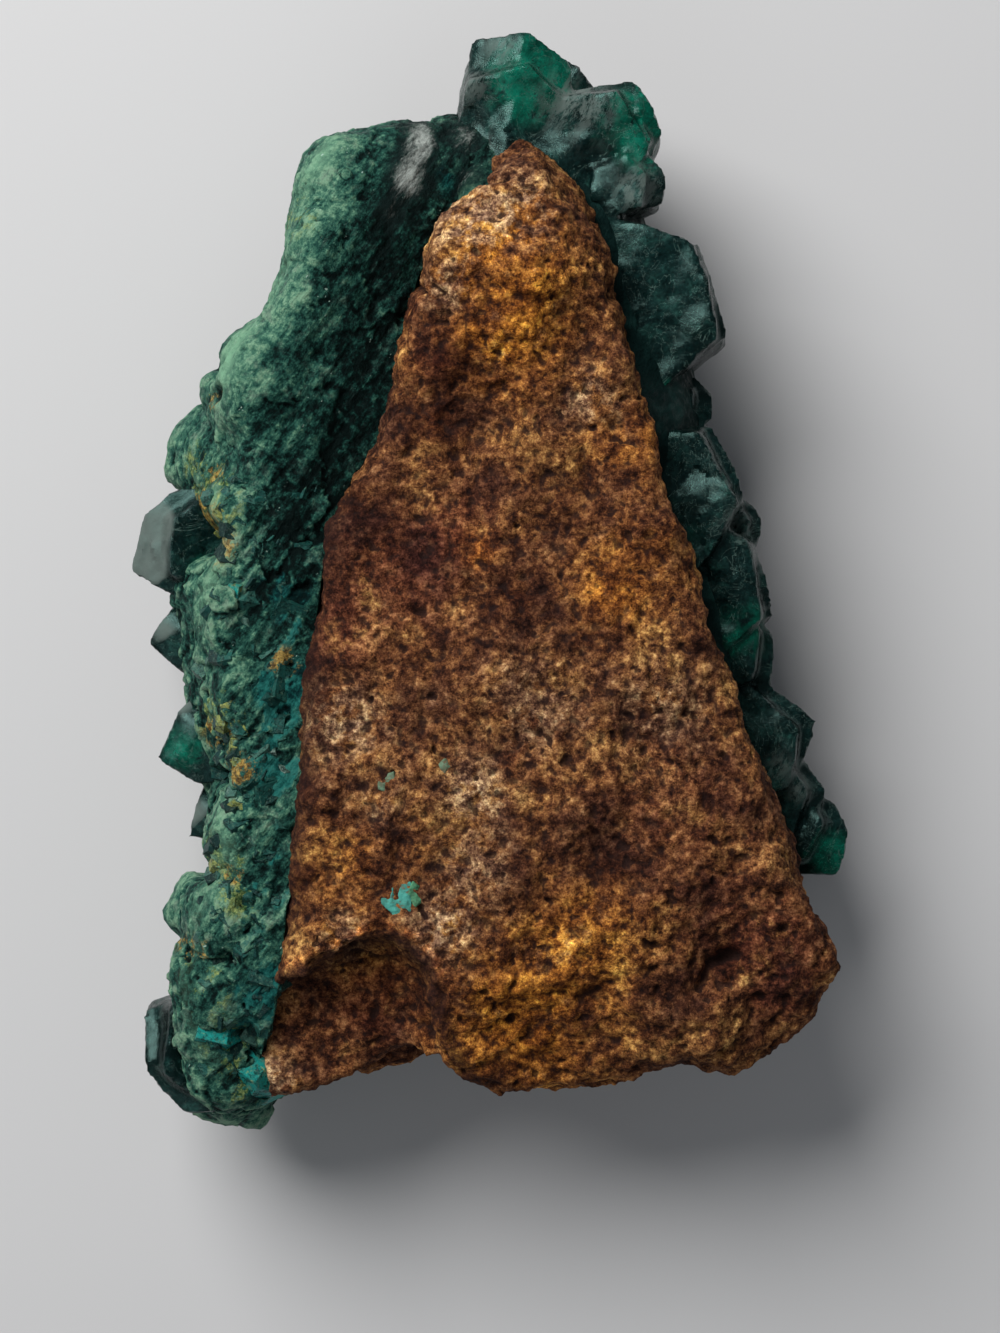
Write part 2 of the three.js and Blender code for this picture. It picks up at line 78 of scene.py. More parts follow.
RIND_LOW, RIND_HIGH = 6, 18.6
RIND_CENTRE = (-0.5, -3)
RIND_TAPER = ((-30, 19), (26, 11))
RIND_HALF_LENGTH = 32
RIND_OUTLINE = [
    (0, 29.6), (5, 30), (8, 27.6), (9, 23.6), (10.6, 20), (12.2, 14.5), (13, 9.5), (14.6, 4),
    (16.2, -2), (17.2, -8), (18.8, -13), (19.6, -18), (18.6, -22.5), (15, -26), (8, -27.2),
    (0, -27), (-7, -29), (-13, -32.6), (-16.4, -34), (-19.6, -32.6), (-20.4, -29), (-19, -25),
    (-19.6, -21), (-18.2, -17.5), (-18, -13), (-19, -9), (-19.6, -4), (-20, 2), (-18.8, 6),
    (-17, 9.6), (-15.8, 13), (-13.6, 17), (-12.4, 20.5), (-12.2, 24), (-10.6, 27), (-8, 28.4),
    (-4.6, 27.8), (-2.4, 28.8),
]
RIND_PROFILE = [
    (0, 1), (0.5, 1), (0.72, 0.97), (0.87, 0.82), (0.96, 0.58), (1, 0.38), (0.95, 0.16),
    (0.78, 0.03), (0.4, 0), (0, 0),
]
RIND_SWELLS = [  # x, y, radius, rise
    (-4.5, 19, 3.4, -2.4), (-12, 15, 5, 1.4), (-15.5, 0, 6, 1), (11, 18, 6, -3.4),
    (14, 4, 7, -3.6), (18, -11, 7, -4.6), (5, 30, 7, -3.6), (-19, -34, 6, -4.6),
]
RIND_SLOPE = [  # the left band's broken surface: y, crest x and level, foot x and level
    (-32, -18, 15.4, -14.8, 14), (-27.5, -18.6, 17.4, -14, 16.6), (-24, -18.6, 18.2, -13.8, 17.8),
    (-16, -17, 18.4, -13.2, 17.8), (-8, -18, 18.6, -12.6, 17.8), (0, -17.6, 18.6, -12, 17.4),
    (5, -17.6, 18.8, -11, 16.6), (10, -16.6, 18.8, -9.4, 16), (14, -15.2, 18.8, -8, 15.6),
    (18, -13, 18.8, -7, 15.6), (24, -12, 18, -5, 15.8), (28, -8.4, 17.4, -3, 16),
]
SLOPE_ROUNDING = 0.3

RIDGE = [
    (-8.2, 25, 17.6), (-9.4, 20, 19), (-10.6, 15.5, 19.8), (-13.2, 10.5, 19.4), (-14.6, 4, 19.6),
    (-14.8, -3, 19.8), (-15, -11, 19.4), (-14.8, -18, 19), (-15.6, -26, 17.4),
]
KNOB_COUNT = 12
KNOB_SIZE = (2.6, 3.9)
KNOB_STRAY = 1.6
KNOB_HEIGHT = 1.4
KNOB_LENGTH = 1.1
KNOB_FALL = 0.3
RIND_LUMPS = [  # middle, radius
    ((-17.2, -28.6, 13.4), 2.9), ((-16.9, -31.2, 12.6), 2.7), ((-5.8, 25.6, 13.4), 3),
    ((-2, 26.6, 12.8), 2.8), ((-9, 25.4, 14), 2.6),
]

MATRIX_OUTLINE = [
    (2.3, 27.3), (4.4, 25.2), (6, 22.8), (7.3, 20), (8.3, 15.4), (9.2, 10.4), (10.7, 5.4),
    (12.6, 0.4), (14.5, -5.2), (16.3, -10.2), (18.8, -16.8), (20.8, -21.4), (22.3, -25.5),
    (21, -27.5), (18.8, -28.8), (16.9, -31), (14.6, -31.6), (12.2, -30.5), (8.2, -31.9),
    (2.3, -32.7), (-1.6, -31.5), (-4, -29.8), (-9.2, -32), (-15.2, -33.6), (-14.9, -30.2),
    (-13.8, -26.4), (-13.3, -22), (-12.5, -16), (-11.8, -8), (-11.1, -0.4), (-9.9, 4.8),
    (-6.8, 9.1), (-5.8, 14.1), (-5, 18.4), (-3.4, 22), (-0.6, 24.6),
]
OPENING_LEVEL = 13.5  # the crust is open from here up, as wide as the matrix
OPENING_SHRINK = 0.25
OPENING_WANDER = 0.3  # how far its rim strays to each side

EDGE_CRYSTALS = [  # middle, width, length, heading, lean, turn
    ((1.6, 31, 10.4), 6.8, 10, 88, 24, 75),
    ((7.2, 28.6, 10.6), 6.4, 10, 40, 14, 5),
    ((8.8, 24.8, 12.6), 3.4, 7, 10, 16, 20),
    ((-3.4, 28.3, 11.4), 4, 8, 112, 34, 12),
    ((-5.4, 26.3, 14.6), 4.4, 7, 100, 16, 40),
    ((-1.4, 27.2, 14), 3.6, 6, 80, 24, 8),
    ((4.4, 30.4, 7.4), 5.4, 8, 70, 50, 33),
    ((9.2, 17.6, 9.6), 10.8, 12, 14, 7, 43),
    ((12.3, 11.4, 9.8), 3, 6, -10, 16, 20),
    ((11.2, 4.9, 9.6), 9.4, 12, 28, 9, -2),
    ((15.6, 3.2, 10.4), 2.8, 5, 0, 18, 12),
    ((13.4, -1.1, 9), 8.6, 11, 10, 9, 40),
    ((14.8, -4.9, 8.8), 6, 10, -8, 12, 20),
    ((17, -10.3, 8.4), 6.8, 10, 20, 10, 79),
    ((18.2, -14, 8), 5.2, 9, 0, 14, 10),
    ((20.2, -16.8, 7.8), 4.8, 8, -24, 24, 4),
    ((-16.6, 12.4, 10.6), 3.6, 6, 158, 40, 15),
    ((-18.2, 8, 9.6), 4.6, 8, 166, 34, 35),
    ((-19.6, 2.4, 8.6), 6.4, 10, 178, 22, 28),
    ((-18.9, -3.6, 8), 5.2, 8, 176, 30, 8),
    ((-18.2, -10.4, 8.6), 5.4, 9, 186, 36, 21),
    ((-17.4, -15.4, 8.8), 4, 7, 178, 40, 40),
    ((-18.2, -21.4, 8), 4.8, 7, 182, 34, 11),
    ((-19.2, -30.6, 7.6), 7.6, 9, 188, 22, 204),
    ((-16.8, -33.2, 8.4), 4.4, 7, 262, 40, 14),
]
TERMINATION_SLOPE = math.radians(51)
UNEVENNESS = 0.07
REPEAT_TURN = 120
HONEYCOMB = 6.3
HONEYCOMB_ROWS = 6
HONEYCOMB_COLUMNS = 4
UNDERSIDE_WIDTH = (5.4, 8.4)
UNDERSIDE_TIPS = (0.5, 3)
UNDERSIDE_LEAN = 22
BARE_FRONT = (-10, 2, -31)  # no crystal below the matrix reaches out between these x, past this y
SIDE_ROWS = [(9.2, 76, 0.2), (6.4, 48, 0.2)]  # level, lean, proud
SIDE_SPACING = 6.2
SIDE_WIDTH = (4.6, 7)
SIDE_LEAN_STRAY = 10
LENGTH_OVER_WIDTH = 1.3
STRAY = 1
KEEP_CLEAR = 3.6
LOWEST_TIP = 0.4
FEET = [(-16, -27), (14, -21), (-1, -19), (-14, 1), (11, 3), (-5, 21), (5, 22)]
FOOT_WIDTH = 7
FOOT_LENGTH = 9
FOOT_WEAR = 1.2
FOOT_LEAN = 5

# Lines on the matrix's top, each with a rise on its left and a fall on its right, and a width.
LEDGES = [
    ([(-3.5, -25.5), (1, -26.4), (5, -25.6), (9.4, -24.4)], 0.22, 1.4),
    ([(10.6, -24), (14.6, -19.6), (17.6, -16.8)], -0.3, 1.5),
    ([(-12.6, -24.6), (-9.6, -22.4), (-6.4, -21.4), (-4.6, -23)], 0.2, 0.9),
    ([(-4.4, 9.6), (-1, 8.2), (3, 9.4), (7, 8.4)], -0.4, 1.8),
    ([(5.5, -2), (8.4, -6), (11.2, -11)], 0.3, 1.6),
]
STEP_LIP = [  # the edge of the broken-out step, pale along the top and dark below
    (-12.8, -24.2), (-11.3, -23.5), (-7.8, -21.9), (-6.4, -21.7), (-4.7, -22.3), (-3.7, -23.6),
    (-3.2, -24.7), (-2.7, -26.4), (-2.2, -28), (-1.1, -30.8),
]
LIP_WIDTH = 0.26
LIP_FADES = (-26.4, -23.4)
# The dark below the step's lip is painted shade.
UNDER_LIP = (0.9, 0.7)  # how far below the lip it is darkest, and for how far
LEDGE_EDGE = 0.5  # how far from its line a ledge reaches its full rise
LEDGES_FACE = (0.2, 0.8)  # ledges fade where the surface faces up less than the second share
CRACKS = [  # line, depth, width
    ([(-1.6, 25), (-0.4, 24.4), (0.8, 24.8)], 0.7, 0.22),
    ([(-4.6, 20.2), (-5.2, 18.6), (-4.4, 17.4)], 0.6, 0.22),
    ([(6.4, 22.4), (7.2, 19.8), (7.6, 17.4)], 0.3, 0.25),
    ([(-4.2, -27), (-4, -29), (-3.4, -31)], 0.4, 0.3),
    ([(13, -25.6), (13.8, -24.2), (15, -23.8)], 0.6, 0.4),
]
# Heaps of crumbs on the matrix: middle, radius, number of crumbs.
MATRIX_CRUMBS = [
    (2.6, 26.2, 1.3, 7), (-4.6, 10.6, 2.2, 8), (-1, 8.6, 1.6, 5), (7, -1.4, 2.4, 9),
    (5, 2.6, 2, 5), (9.6, 3, 1.8, 5), (-7, -4, 3, 6), (14.6, -28.4, 2.4, 9), (18.4, -26.4, 2, 6),
    (2, -29.4, 4, 8), (-8, -29.4, 3.4, 7), (6.6, -15, 3, 6), (-9.6, -14.6, 2, 4), (11, -12, 2, 4),
    (8, 13, 1.4, 4),
]
# Painted shadow that the crust casts on the matrix beside it: the line it follows, and its width.
CRUST_SHADOW_LINE = [(-10.4, 4), (-11.6, -1), (-12, -8), (-12.6, -16), (-13.2, -21.6)]  # by the crust
CRUST_SHADOW_WIDTH = 1.2
CRUMB_SIZE = (0.45, 1)
CRUMB_SINK = 0.45  # share of its size by which a crumb's middle lies below the surface
MATRIX_FILL = [  # closes the step's front corner, and the crumbly tip at the back
    (-6.2, -29.2, 9.6, 2.6), (-8.6, -30, 9.4, 2.4), (1.4, 25.7, 15.6, 1.6), (1.9, 26.9, 15.8, 1.1),
]
# Where the matrix is stained, pale, or darkened by painted shadow from the crust: places seen from
# above, with a radius and a strength.
MATRIX_STAINS = {
    "ochre": [(0.4, 15.6, 4, 1.2), (1.8, 20, 3.2, 0.8), (8.6, 8, 2.4, 0.7), (-8, -19, 3.6, 0.5),
              (1.6, -28, 5.4, 1.1), (6, -22, 3.6, 0.6), (9, 1, 3, 0.6), (-1, 1.6, 1.2, 0.7),
              (7, -1.6, 1.8, 0.8), (-9, -23.6, 2, 0.4)],
    "pale": [(-1.6, 21.6, 2.2, 0.9), (1.6, 22.8, 2, 0.8), (-2.8, 18, 1.4, 0.6),
             (-1.2, -13.4, 1.7, 1), (-3.2, -21.8, 1.7, 1), (-9.2, -9.2, 2, 0.9),
             (-9.4, -22.4, 1.4, 0.7), (-14.4, -32, 1.6, 1), (6, 11, 1.6, 0.6), (2.4, -8, 2.6, 0.4),
             (10.6, -8, 2.4, 0.4), (-7, -14, 1.6, 0.3), (-1.4, -18, 2, 0.5)],
    "purple": [(-6, 0, 4.4, 1), (-2, 3.4, 3, 0.7), (16.4, -22, 4.4, 1), (11, -14, 4.4, 0.8),
               (-10.6, -4, 3.4, 0.9), (-8.6, -27.6, 4, 1), (18.4, -26, 3, 0.9),
               (1, -11, 3, 0.6), (-4, 13.4, 1.6, 0.8), (-5, 17, 1, 0.8)],
    "dark": [(-3.4, 9.8, 2.2, 1), (3.4, 5.4, 2.4, 0.6), (-8.6, 3, 2.4, 1), (1.6, -1.6, 2, 0.9),
             (5.6, -3.4, 1.2, 0.8), (14.8, -23.4, 1.7, 1), (-6.4, -26.4, 2.6, 0.6),
             # the last three here lie along the crust's edge and are painted shadow
             (7, -18, 1.4, 0.7), (-11.8, -13, 1.3, 1), (-11.4, -6, 1.3, 1), (-12, -19, 1.2, 0.8),
             (13, -31, 1.6, 0.5), (2.6, -29, 3, 0.4), (-3.4, 13.4, 1, 0.9)],
}

FIBRE_HEADING = 54
FROST_HEADING = 60
FIBRE = np.array([[0.8, -0.4, 0], [-0.4, 0.55, 0], [0, 0, 1]])  # draws the rind's grain out

RIND_HOLES = [  # x, y, radius, depth
    (-18.2, 2.5, 1.3, 4), (-18.9, -18.4, 0.8, 2), (-16.9, -12.6, 0.6, 1.4), (-17.2, 13.2, 0.5, 1.6),
    (-16.8, 11.7, 0.45, 1.4), (-12.4, -16, 0.4, 0.8), (-16.6, -24, 0.5, 0.9), (-15.6, -20.4, 0.6, 1.2),
    (-14.6, 16.6, 0.5, 1), (-13.6, 18.4, 0.4, 0.8), (-16, -29, 0.9, 1.2),
]
RIND_CREST = [  # the line along which the rind catches the light
    (-9.6, 27.7), (-12.1, 23.6), (-12.9, 18.3), (-15.3, 14.5), (-17, 11.1), (-17.6, 6.7),
    (-17.3, 1), (-18.4, -4), (-19.4, -7.1), (-17.4, -12.7), (-16.4, -17.1), (-18.2, -20.3),
    (-19.1, -24), (-19.4, -27.2), (-17, -31.5),
]
# Painted shade along the valley between the crest and the matrix, as wide as VALLEY_WIDTH.
RIND_VALLEY = [(-3.4, 25.6), (-6.2, 21.1), (-7.4, 15.5), (-9, 9.2), (-10.9, 4.8), (-12, 0)]
STAINED_FROM = (10, 14)  # the stains seen from above fade below the second level
CRYSTALS_STAINED_FROM = (9, 12.5)
# The crest's painted highlight: the levels from which it shows, its width, the width of its mint line,
# and the y over which it grows to full strength.
CREST_LEVELS = (14.5, 17)
CREST_WIDTH = 1.3
CREST_LINE = 0.5
CREST_FADES = (-6, 8)  # the crest is pale from the second y on, and less so below the first
VALLEY_WIDTH = 3.8
FINE_MOST = 0.1  # what stands out further than this is no paler
BROAD_MOST = 0.4
EVEN_FADES = (5, 11)  # past the second y the rind is one smooth swell
EVEN_ROUNDS = 36
EVEN_SWELLING = 0.45
BROKEN_FADES = (1, 9)  # the rind is blocky up to the first y, and fibrous above the second
RIND_STAINS = {
    "rust": [(-18.9, 4.2, 1.6, 1), (-17.4, 2, 1.2, 0.9), (-16.8, -9.6, 1.1, 1), (-15.6, -12, 0.9, 0.9),
             (-13.2, -5.4, 1, 0.8), (-16.2, -18.6, 0.8, 0.8), (-18.6, -23.6, 1.1, 1),
             (-17.3, 11.4, 0.8, 0.7), (-17.2, 6.4, 0.7, 0.8)],
    "lime": [(-18.2, 4.8, 2.2, 1), (-18.8, 7, 1.6, 0.8), (-17, -8.6, 1.5, 0.8),
             (-17.2, -18, 1.6, 1), (-15.8, -20.4, 1.1, 0.7), (-18, -25.6, 1.4, 0.9),
             (-16.6, -29.4, 1.6, 0.8), (-12, 22.5, 1.8, 0.6), (-16.4, -32, 1.6, 0.6)],
    "frosted": [(-5.6, 25, 1.4, 0.9), (-4.7, 27.2, 1.2, 0.9), (-7, 22.8, 1.1, 0.5),
                (-1.8, 27.6, 1.2, 0.7), (-1.6, 24.9, 1.2, 0.7)],
    "teal": [(-13, -1, 2.2, 0.7), (-13, -7, 2.4, 1), (-14, -12, 2.2, 0.6), (-13.8, -19, 2.2, 0.6),
             (-13.8, -25.6, 2.4, 1), (-16, -28.6, 0.9, 1), (-14.4, -32.4, 1.6, 1),
             (-3.2, 25, 1.2, 0.6)],
}
# The lobe is painted paler, as highlight on the side of the crest that takes the light.
RIND_PALE = (-11.4, 23.6, 2.2)  # the striped lobe at the back left: x, y, radius
GLASSY_FROM = (-1.5, 2.5)  # from the second x on the crust is vitreous

BURIED = (3, 4, 5)  # edge crystals that the rind's body covers
COATED = (16, 17, 22, 24)  # edge crystals that show as lumps of the granular rind
CAP_DEPTH = 6
CAP_SHOULDER = 1.6  # how far below its top a cap is widest
CAP_UNDERCUT = 12  # degrees by which a cap narrows downwards
CAP_FACES = [(0, 15, 0.3), (75, 20, 0.7), (-80, 24, 0.7), (180, 3, 0.2)]  # turn, slope, drop
CAP_FACES_OF = {
    18: [(0, 36, -0.3), (75, 12, 1), (-80, 12, 1.2), (180, 8, 0.2)],
    20: [(-20, 24, 0.2), (-80, 34, 0.3), (80, 20, 0.7), (180, 6, 0.2)],
    21: [(0, 30, 0), (75, 22, 0.7), (-80, 26, 0.7), (180, 8, 0.2)],
}
CAP_STRAY = 6
OUTLINE_BEND = 0.05  # a bend in a cap's outline that is gentler than this is left out
BROAD_FACETS = (3.2, 0.07, 0)  # size, tilt, step
FINE_FACETS = (1, 0.06, 0)

DRUSE_PLACES = [  # x, y, width, lean, heading, hue
    (-17.7, -28.6, 3.2, 34, 200, 1), (-15.7, -31.2, 3.6, 40, 160, 1),
    # the two of hue 0.78 are pale grey, as painted glints
    (-16.1, -0.9, 1.2, 30, 40, 0.97), (-13.3, -12, 1.4, 40, 120, 0.78), (-13.9, -11, 1, 30, 10, 0.78),
    (-13.4, -6.8, 3.4, 20, 250, 0.5), (-14.2, -13.6, 3, 24, 130, 0.5), (-13.8, -20, 2.6, 20, 300, 0.5),
    (-14.6, -25, 3, 26, 200, 0.5), (-13, -2, 2.8, 22, 100, 0.5), (-16.9, -9, 1, 40, 80, 0.9),
    (-16.2, -10.6, 0.9, 30, 200, 0.9), (-16.4, -8, 0.8, 50, 10, 0.9), (-17.3, -18, 1, 40, 60, 0.9),
    (-15.4, -20.4, 0.8, 40, 300, 0.9), (-17, 4.2, 1, 40, 140, 0.9), (-16, -14.4, 1.1, 36, 30, 0.9),
    (-16, -11.6, 0.8, 44, 300, 0.9), (-17.6, 3, 0.8, 44, 200, 0.9), (-15.6, -9.4, 0.8, 44, 100, 0.9),
]
DRUSE_COUNT = 150
DRUSE_ROWS = (-31, 6)
DRUSE_ACROSS = (-0.1, 0.95)  # shares of the way from the left band's crest to its foot
DRUSE_WIDTH = (0.5, 1.7)
DRUSE_LEAN = (10, 60)
DRUSE_SINK = 0.42  # share of its width by which a small crystal's middle lies below the surface
DRUSE_HUES = (0.1, 0.2, 0.3, 0.35, 0.4, 0.45, 0.5, 0.5, 0.55, 0.6, 0.65, 0.72)

CRYSTAL_STAINS = {
    # the emerald spots are a painted glow of light that has gone through the crystals
    "emerald": [(2, 31.8, 2.6, 1.3), (9, 29, 2.4, 1.2), (22, -18.4, 2.2, 1), (9, 26.6, 1.2, 0.6),
                (-15.6, -33.4, 1.6, 1), (15.6, -3.4, 2, 0.8), (-20, -10.8, 1.7, 0.9),
                (10.6, 11.4, 1.2, 0.9), (12.4, 2.6, 1.6, 0.4), (-18.4, 0.6, 1.2, 0.5)],
    "frosted": [(-1.4, 31.4, 1.2, 1), (0.4, 33.8, 0.9, 0.8), (5.4, 30.2, 1.9, 1.2),
                (9.2, 24.6, 1.3, 1.1), (15.4, 3.4, 0.9, 0.9), (18.4, -12, 0.8, 0.6),
                (-1.6, 27, 1.4, 0.9), (-5.4, 26.6, 1.6, 1), (19.6, -13.4, 0.8, 0.7)],
    # whitened faces, with a painted sheen where they face the light
    "bleached": [(-22.4, -1.2, 1.4, 1.7), (-22.5, 1.2, 1.4, 1.7), (-22, 3.6, 1.4, 1.7),
                 (-19.8, -15, 1.7, 1), (-20.3, -7.6, 1.3, 1), (-21.2, -3.6, 1.1, 0.8)],
    "dark": [(-20.8, -29.4, 3, 1), (13, 15, 3.6, 0.5), (6.6, 26.4, 1.4, 0.6)],
}
# Faces turned this way, toward the light, are whitened and take a painted sheen.
BLEACHED_AND_SHEEN_SIDE = (-0.85, 0.5, 0)  # what is bleached faces this way
GLOWING_SIDE = (0.8, -0.2, 0)  # the light that has gone through a crystal shows this way

CHIPS = {  # the look and the slot of each grain, and how it spreads beside the CAD's chip
    "turquoise_chip": ("turquoise", "turquoise_grain", (1.1, 1.6), (-0.5, -0.6)),
    "green_chip": ("green", "turquoise_grain", (1.1, 1.6), (-1.2, -0.6)),
    "left_speck": ("dull", "dull_grain", (1.3, 1.3), (0.1, -0.7)),
    "right_speck": ("dull", "dull_grain", (1.2, 1.3), (0, -0.5)),
}
CHIP_COLOURS = {  # light and dark
    "turquoise": ((0.06, 0.36, 0.3), (0.03, 0.17, 0.13)),
    "green": ((0.09, 0.33, 0.17), (0.02, 0.09, 0.04)),
    "dull": ((0.13, 0.24, 0.15), (0.09, 0.1, 0.055)),
}
CHIP_SHARDS = 4
SHARD_REACH = (0.4, 0.75)
SHARD_STRAY = 0.4
SHARD_UNEVENNESS = 0.2
CHIP_VOXEL = 0.08
CHIP_SINK = 0.75  # how far below a chip its seat is filled up
CHIP_PROUD = 0.3  # what is left of how far the CAD's chip stands out

# ------------------------------------------------------------------ sizes of the surfaces

SEEDS = {"facets": 9, "crumbs": 5, "crust": 7, "caps": 12, "druse": 31, "grains": 3}
SAME_PLACE = 1e-5  # corners of a crystal that are nearer to each other than this are one
NEARLY_NONE = 1e-6
CAD_SEAM = 1e-4  # the CAD's points are doubled along its sharp edges, this close to each other
FAR_ABOVE = 100  # higher than all of the specimen
MATRIX_SHOWS_FROM = 12  # the matrix is made finer above this level, and where it faces up
MATRIX_SHOWS_FACING = 0.2
MATRIX_VOXEL = 0.42
MATRIX_SMOOTHING = 6
MATRIX_BROAD = (0.36, 3.8, 5)  # height, size, octaves
MATRIX_FINE = (0.24, 0.9, 3)
GRAIN_SIZE = 0.62
GRAIN_HEIGHT = 0.14
LUMP_SIZE = 1.5
LUMP_HEIGHT = 0.18
LUMP_BEND = (1, 1.4, 2)  # height, size, octaves
PORE_SIZE = 1.1
PORE_DEPTH = 0.34
PORES_FROM = (0.45, 0.8)  # noise above the second level is a pore of the full depth
SOCKET_VOXEL = 0.7
SOCKET_SHRINK = 0.2
RIND_VOXEL = 0.42
RIND_SMOOTHING = 12
RIND_SWELLING = 0.4  # what the smoothing takes off, put back
RIND_SHOWS_FROM = 10.5  # the rind is made finer above this level, unless it faces down
RIND_SHOWS_FACING = -0.5
RIND_BLOCKS = (2.6, 0.24, 0.06)  # size, tilt, step
RIND_SPLINTERS = (0.8, 0.3, 0.1)
BLOCK_BEND = (0.3, 2, 2)  # height, size, octaves
RIND_BROAD = (0.2, 4.6, 3)
RIND_FINE = (0.09, 0.5, 3)
RIND_FIBRES = (0.1, 0.9, 3)
RIND_PITS = (1.3, 3)  # size, octaves
RIND_PITS_FROM = (0.5, 0.8)
RIND_PIT_DEPTH = 0.4
CREASES = (2.4, 5)
CREASE_HEIGHT = 0.26
BAND_FINE = (0.02, 0.7, 3)  # height, size, octaves
CHIP_FINE = (0.08, 0.6, 3)
BAND_VOXEL = 0.26
BAND_SMOOTHING = 2
SIDE_UNEVENNESS = 0.1
EDGE_WEAR = 0.2  # how wide a crystal's worn edge is
LONGEST_SIDE = 1.1  # a crystal's edges are cut in two until none is longer, or this many times
MOST_CUTS = 6
CRYSTAL_SWELL = 0.22  # how far a crystal's faces swell, and over what size
SWELL_SIZE = 3.4
CRYSTAL_STEP = 0.07  # how high the steps on them are, over what size and how steep
STEP_SIZE = 2.2
STEP_STEEPNESS = 9
FINER = 2.1  # how much finer each octave of noise is than the one before

# ------------------------------------------------------------------ colours and the stage

MATRIX_TINTS = {"ochre": (2, 1.75, 0.75), "purple": (0.65, 0.5, 0.67), "dark": (0.34, 0.23, 0.24)}
# fine and broad paint highlight where the rind stands out and shade where it sinks, crest and lobe are
# painted highlight, valley is painted shade, tint and fine_tint are the facets' own tones.
RIND_TONE = {  # how much paler each painted number makes the rind
    "fine": 1.5, "broad": 0.12, "crest": 0.12, "valley": -0.2, "lobe": 0.12, "tint": 0.05,
    "fine_tint": 0.15,
}
RIND_SPECKS = [  # stain, size, share, dark colour, light colour
    ("lime", 0.9, 0.85, (0.03, 0.075, 0.015), (0.42, 0.5, 0.16)),
    ("rust", 0.5, 0.9, (0.09, 0.04, 0.01), (0.62, 0.4, 0.1)),
]
CRYSTAL_DARK = (0.001, 0.005, 0.005)
FLOOR_HALF = 1.2
CAMERA_LENS = 92.2
CAMERA_AT = (0.00075, -0.00511, 0.232)

# ------------------------------------------------------------------ numbers


def random_from(seed):
    """The CAD's repeatable stream of numbers from 0 to 1."""
    word = 0xFFFFFFFF
    state = seed

    def draw():
        nonlocal state
        state = (state + 0x6D2B79F5) & word
        mixed = ((state ^ (state >> 15)) * (1 | state)) & word
        mixed ^= (mixed + (((mixed ^ (mixed >> 7)) * (61 | mixed)) & word)) & word
        return ((mixed ^ (mixed >> 14)) & word) / 2**32

    return draw


def between(draw, low_high):
    low, high = low_high
    return low + (high - low) * draw()


def stray(draw, most):
    return most * (2 * draw() - 1)


def fractal(points, size, octaves=4):
    """Layered noise, about -1 to 1, over features of the given size and finer."""
    return np.array([noise.fractal(Vector(p) / size, 1, FINER, octaves) for p in points])


def waves(points, height, size, octaves):
    """Layered noise of the given height in millimetres."""
    return height * fractal(points, size, octaves)


def cells(points, size):
    """Distance to the nearest cell's middle, in cell sizes."""
    return np.array([noise.voronoi(Vector(p) / size)[0][0] for p in points])


def facets(points, size, tilt, step):
    """Heights of a surface that has broken into flat facets, and a number from -1 to 1 for each
    facet."""
    heights, marks = [], []
    for point in points:
        place = Vector(point) / size
        middle = noise.voronoi(place)[1][0]
        lean = noise.noise_vector(middle * 5.7)
        heights.append((place - middle).dot(lean) * tilt + step * noise.noise(middle * 9.1))
        marks.append(noise.noise(middle * 3.3 + Vector((8, 1, 4))))
    return size * np.array(heights), np.clip(2 * np.array(marks), -1, 1)


def spread(points, x, y, radius):
    """1 at a place seen from above, falling smoothly to 0 past the radius."""
    away = (points[:, 0] - x) ** 2 + (points[:, 1] - y) ** 2
    return np.exp(-away / radius**2)


def hump(distances, width):
    """1 at no distance, falling smoothly to 0 past the width."""
    return np.exp(-((distances / width) ** 2))


def smooth_step(values, low, high):
    t = np.clip((values - low) / (high - low), 0, 1)
    return t * t * (3 - 2 * t)


def smooth_curve(points, steps, closed):
    """A Catmull-Rom curve through points, with the given number of steps between neighbours."""
    p = np.array(points, float)
    if closed:
        before, after, last = np.roll(p, 1, 0), np.roll(p, -1, 0), np.roll(p, -2, 0)
    else:
        before = np.vstack([2 * p[0] - p[1], p[:-2]])
        p, after = p[:-1], p[1:]
        last = np.vstack([after[1:], 2 * after[-1] - after[-2]])
    t = (np.arange(steps) / steps)[None, :, None]
    a, b, c, d = (q[:, None, :] for q in (before, p, after, last))
    curve = 0.5 * (2 * b + (c - a) * t + (2 * a - 5 * b + 4 * c - d) * t**2
                   + (3 * b - a - 3 * c + d) * t**3)
    curve = curve.reshape(-1, p.shape[1])
    return curve if closed else np.vstack([curve, after[-1]])


def beside(points, line):
    """How far each point lies from a line seen from above, and on which side of it: 1 or -1."""
    flat = points[:, :2]
    best = np.full(len(flat), np.inf)
    side = np.ones(len(flat))
    for start, end in zip(line, line[1:]):
        start, along = np.array(start, float), np.subtract(end, start).astype(float)
        share = np.clip(((flat - start) @ along) / (along @ along), 0, 1)
        away = flat - (start + share[:, None] * along)
        distance = np.hypot(away[:, 0], away[:, 1])
        nearer = distance < best
        best[nearer] = distance[nearer]
        side[nearer] = np.sign(along[0] * away[nearer, 1] - along[1] * away[nearer, 0])
    return best, side


# ------------------------------------------------------------------ meshes


def coordinates(mesh):
    flat = np.empty(len(mesh.vertices) * 3)
    mesh.vertices.foreach_get("co", flat)
    return flat.reshape(-1, 3)


def vertex_normals(mesh):
    flat = np.empty(len(mesh.vertices) * 3)
    mesh.vertex_normals.foreach_get("vector", flat)
    return flat.reshape(-1, 3)


def place_vertices(mesh, points):
    mesh.vertices.foreach_set("co", points.ravel())
    mesh.update()


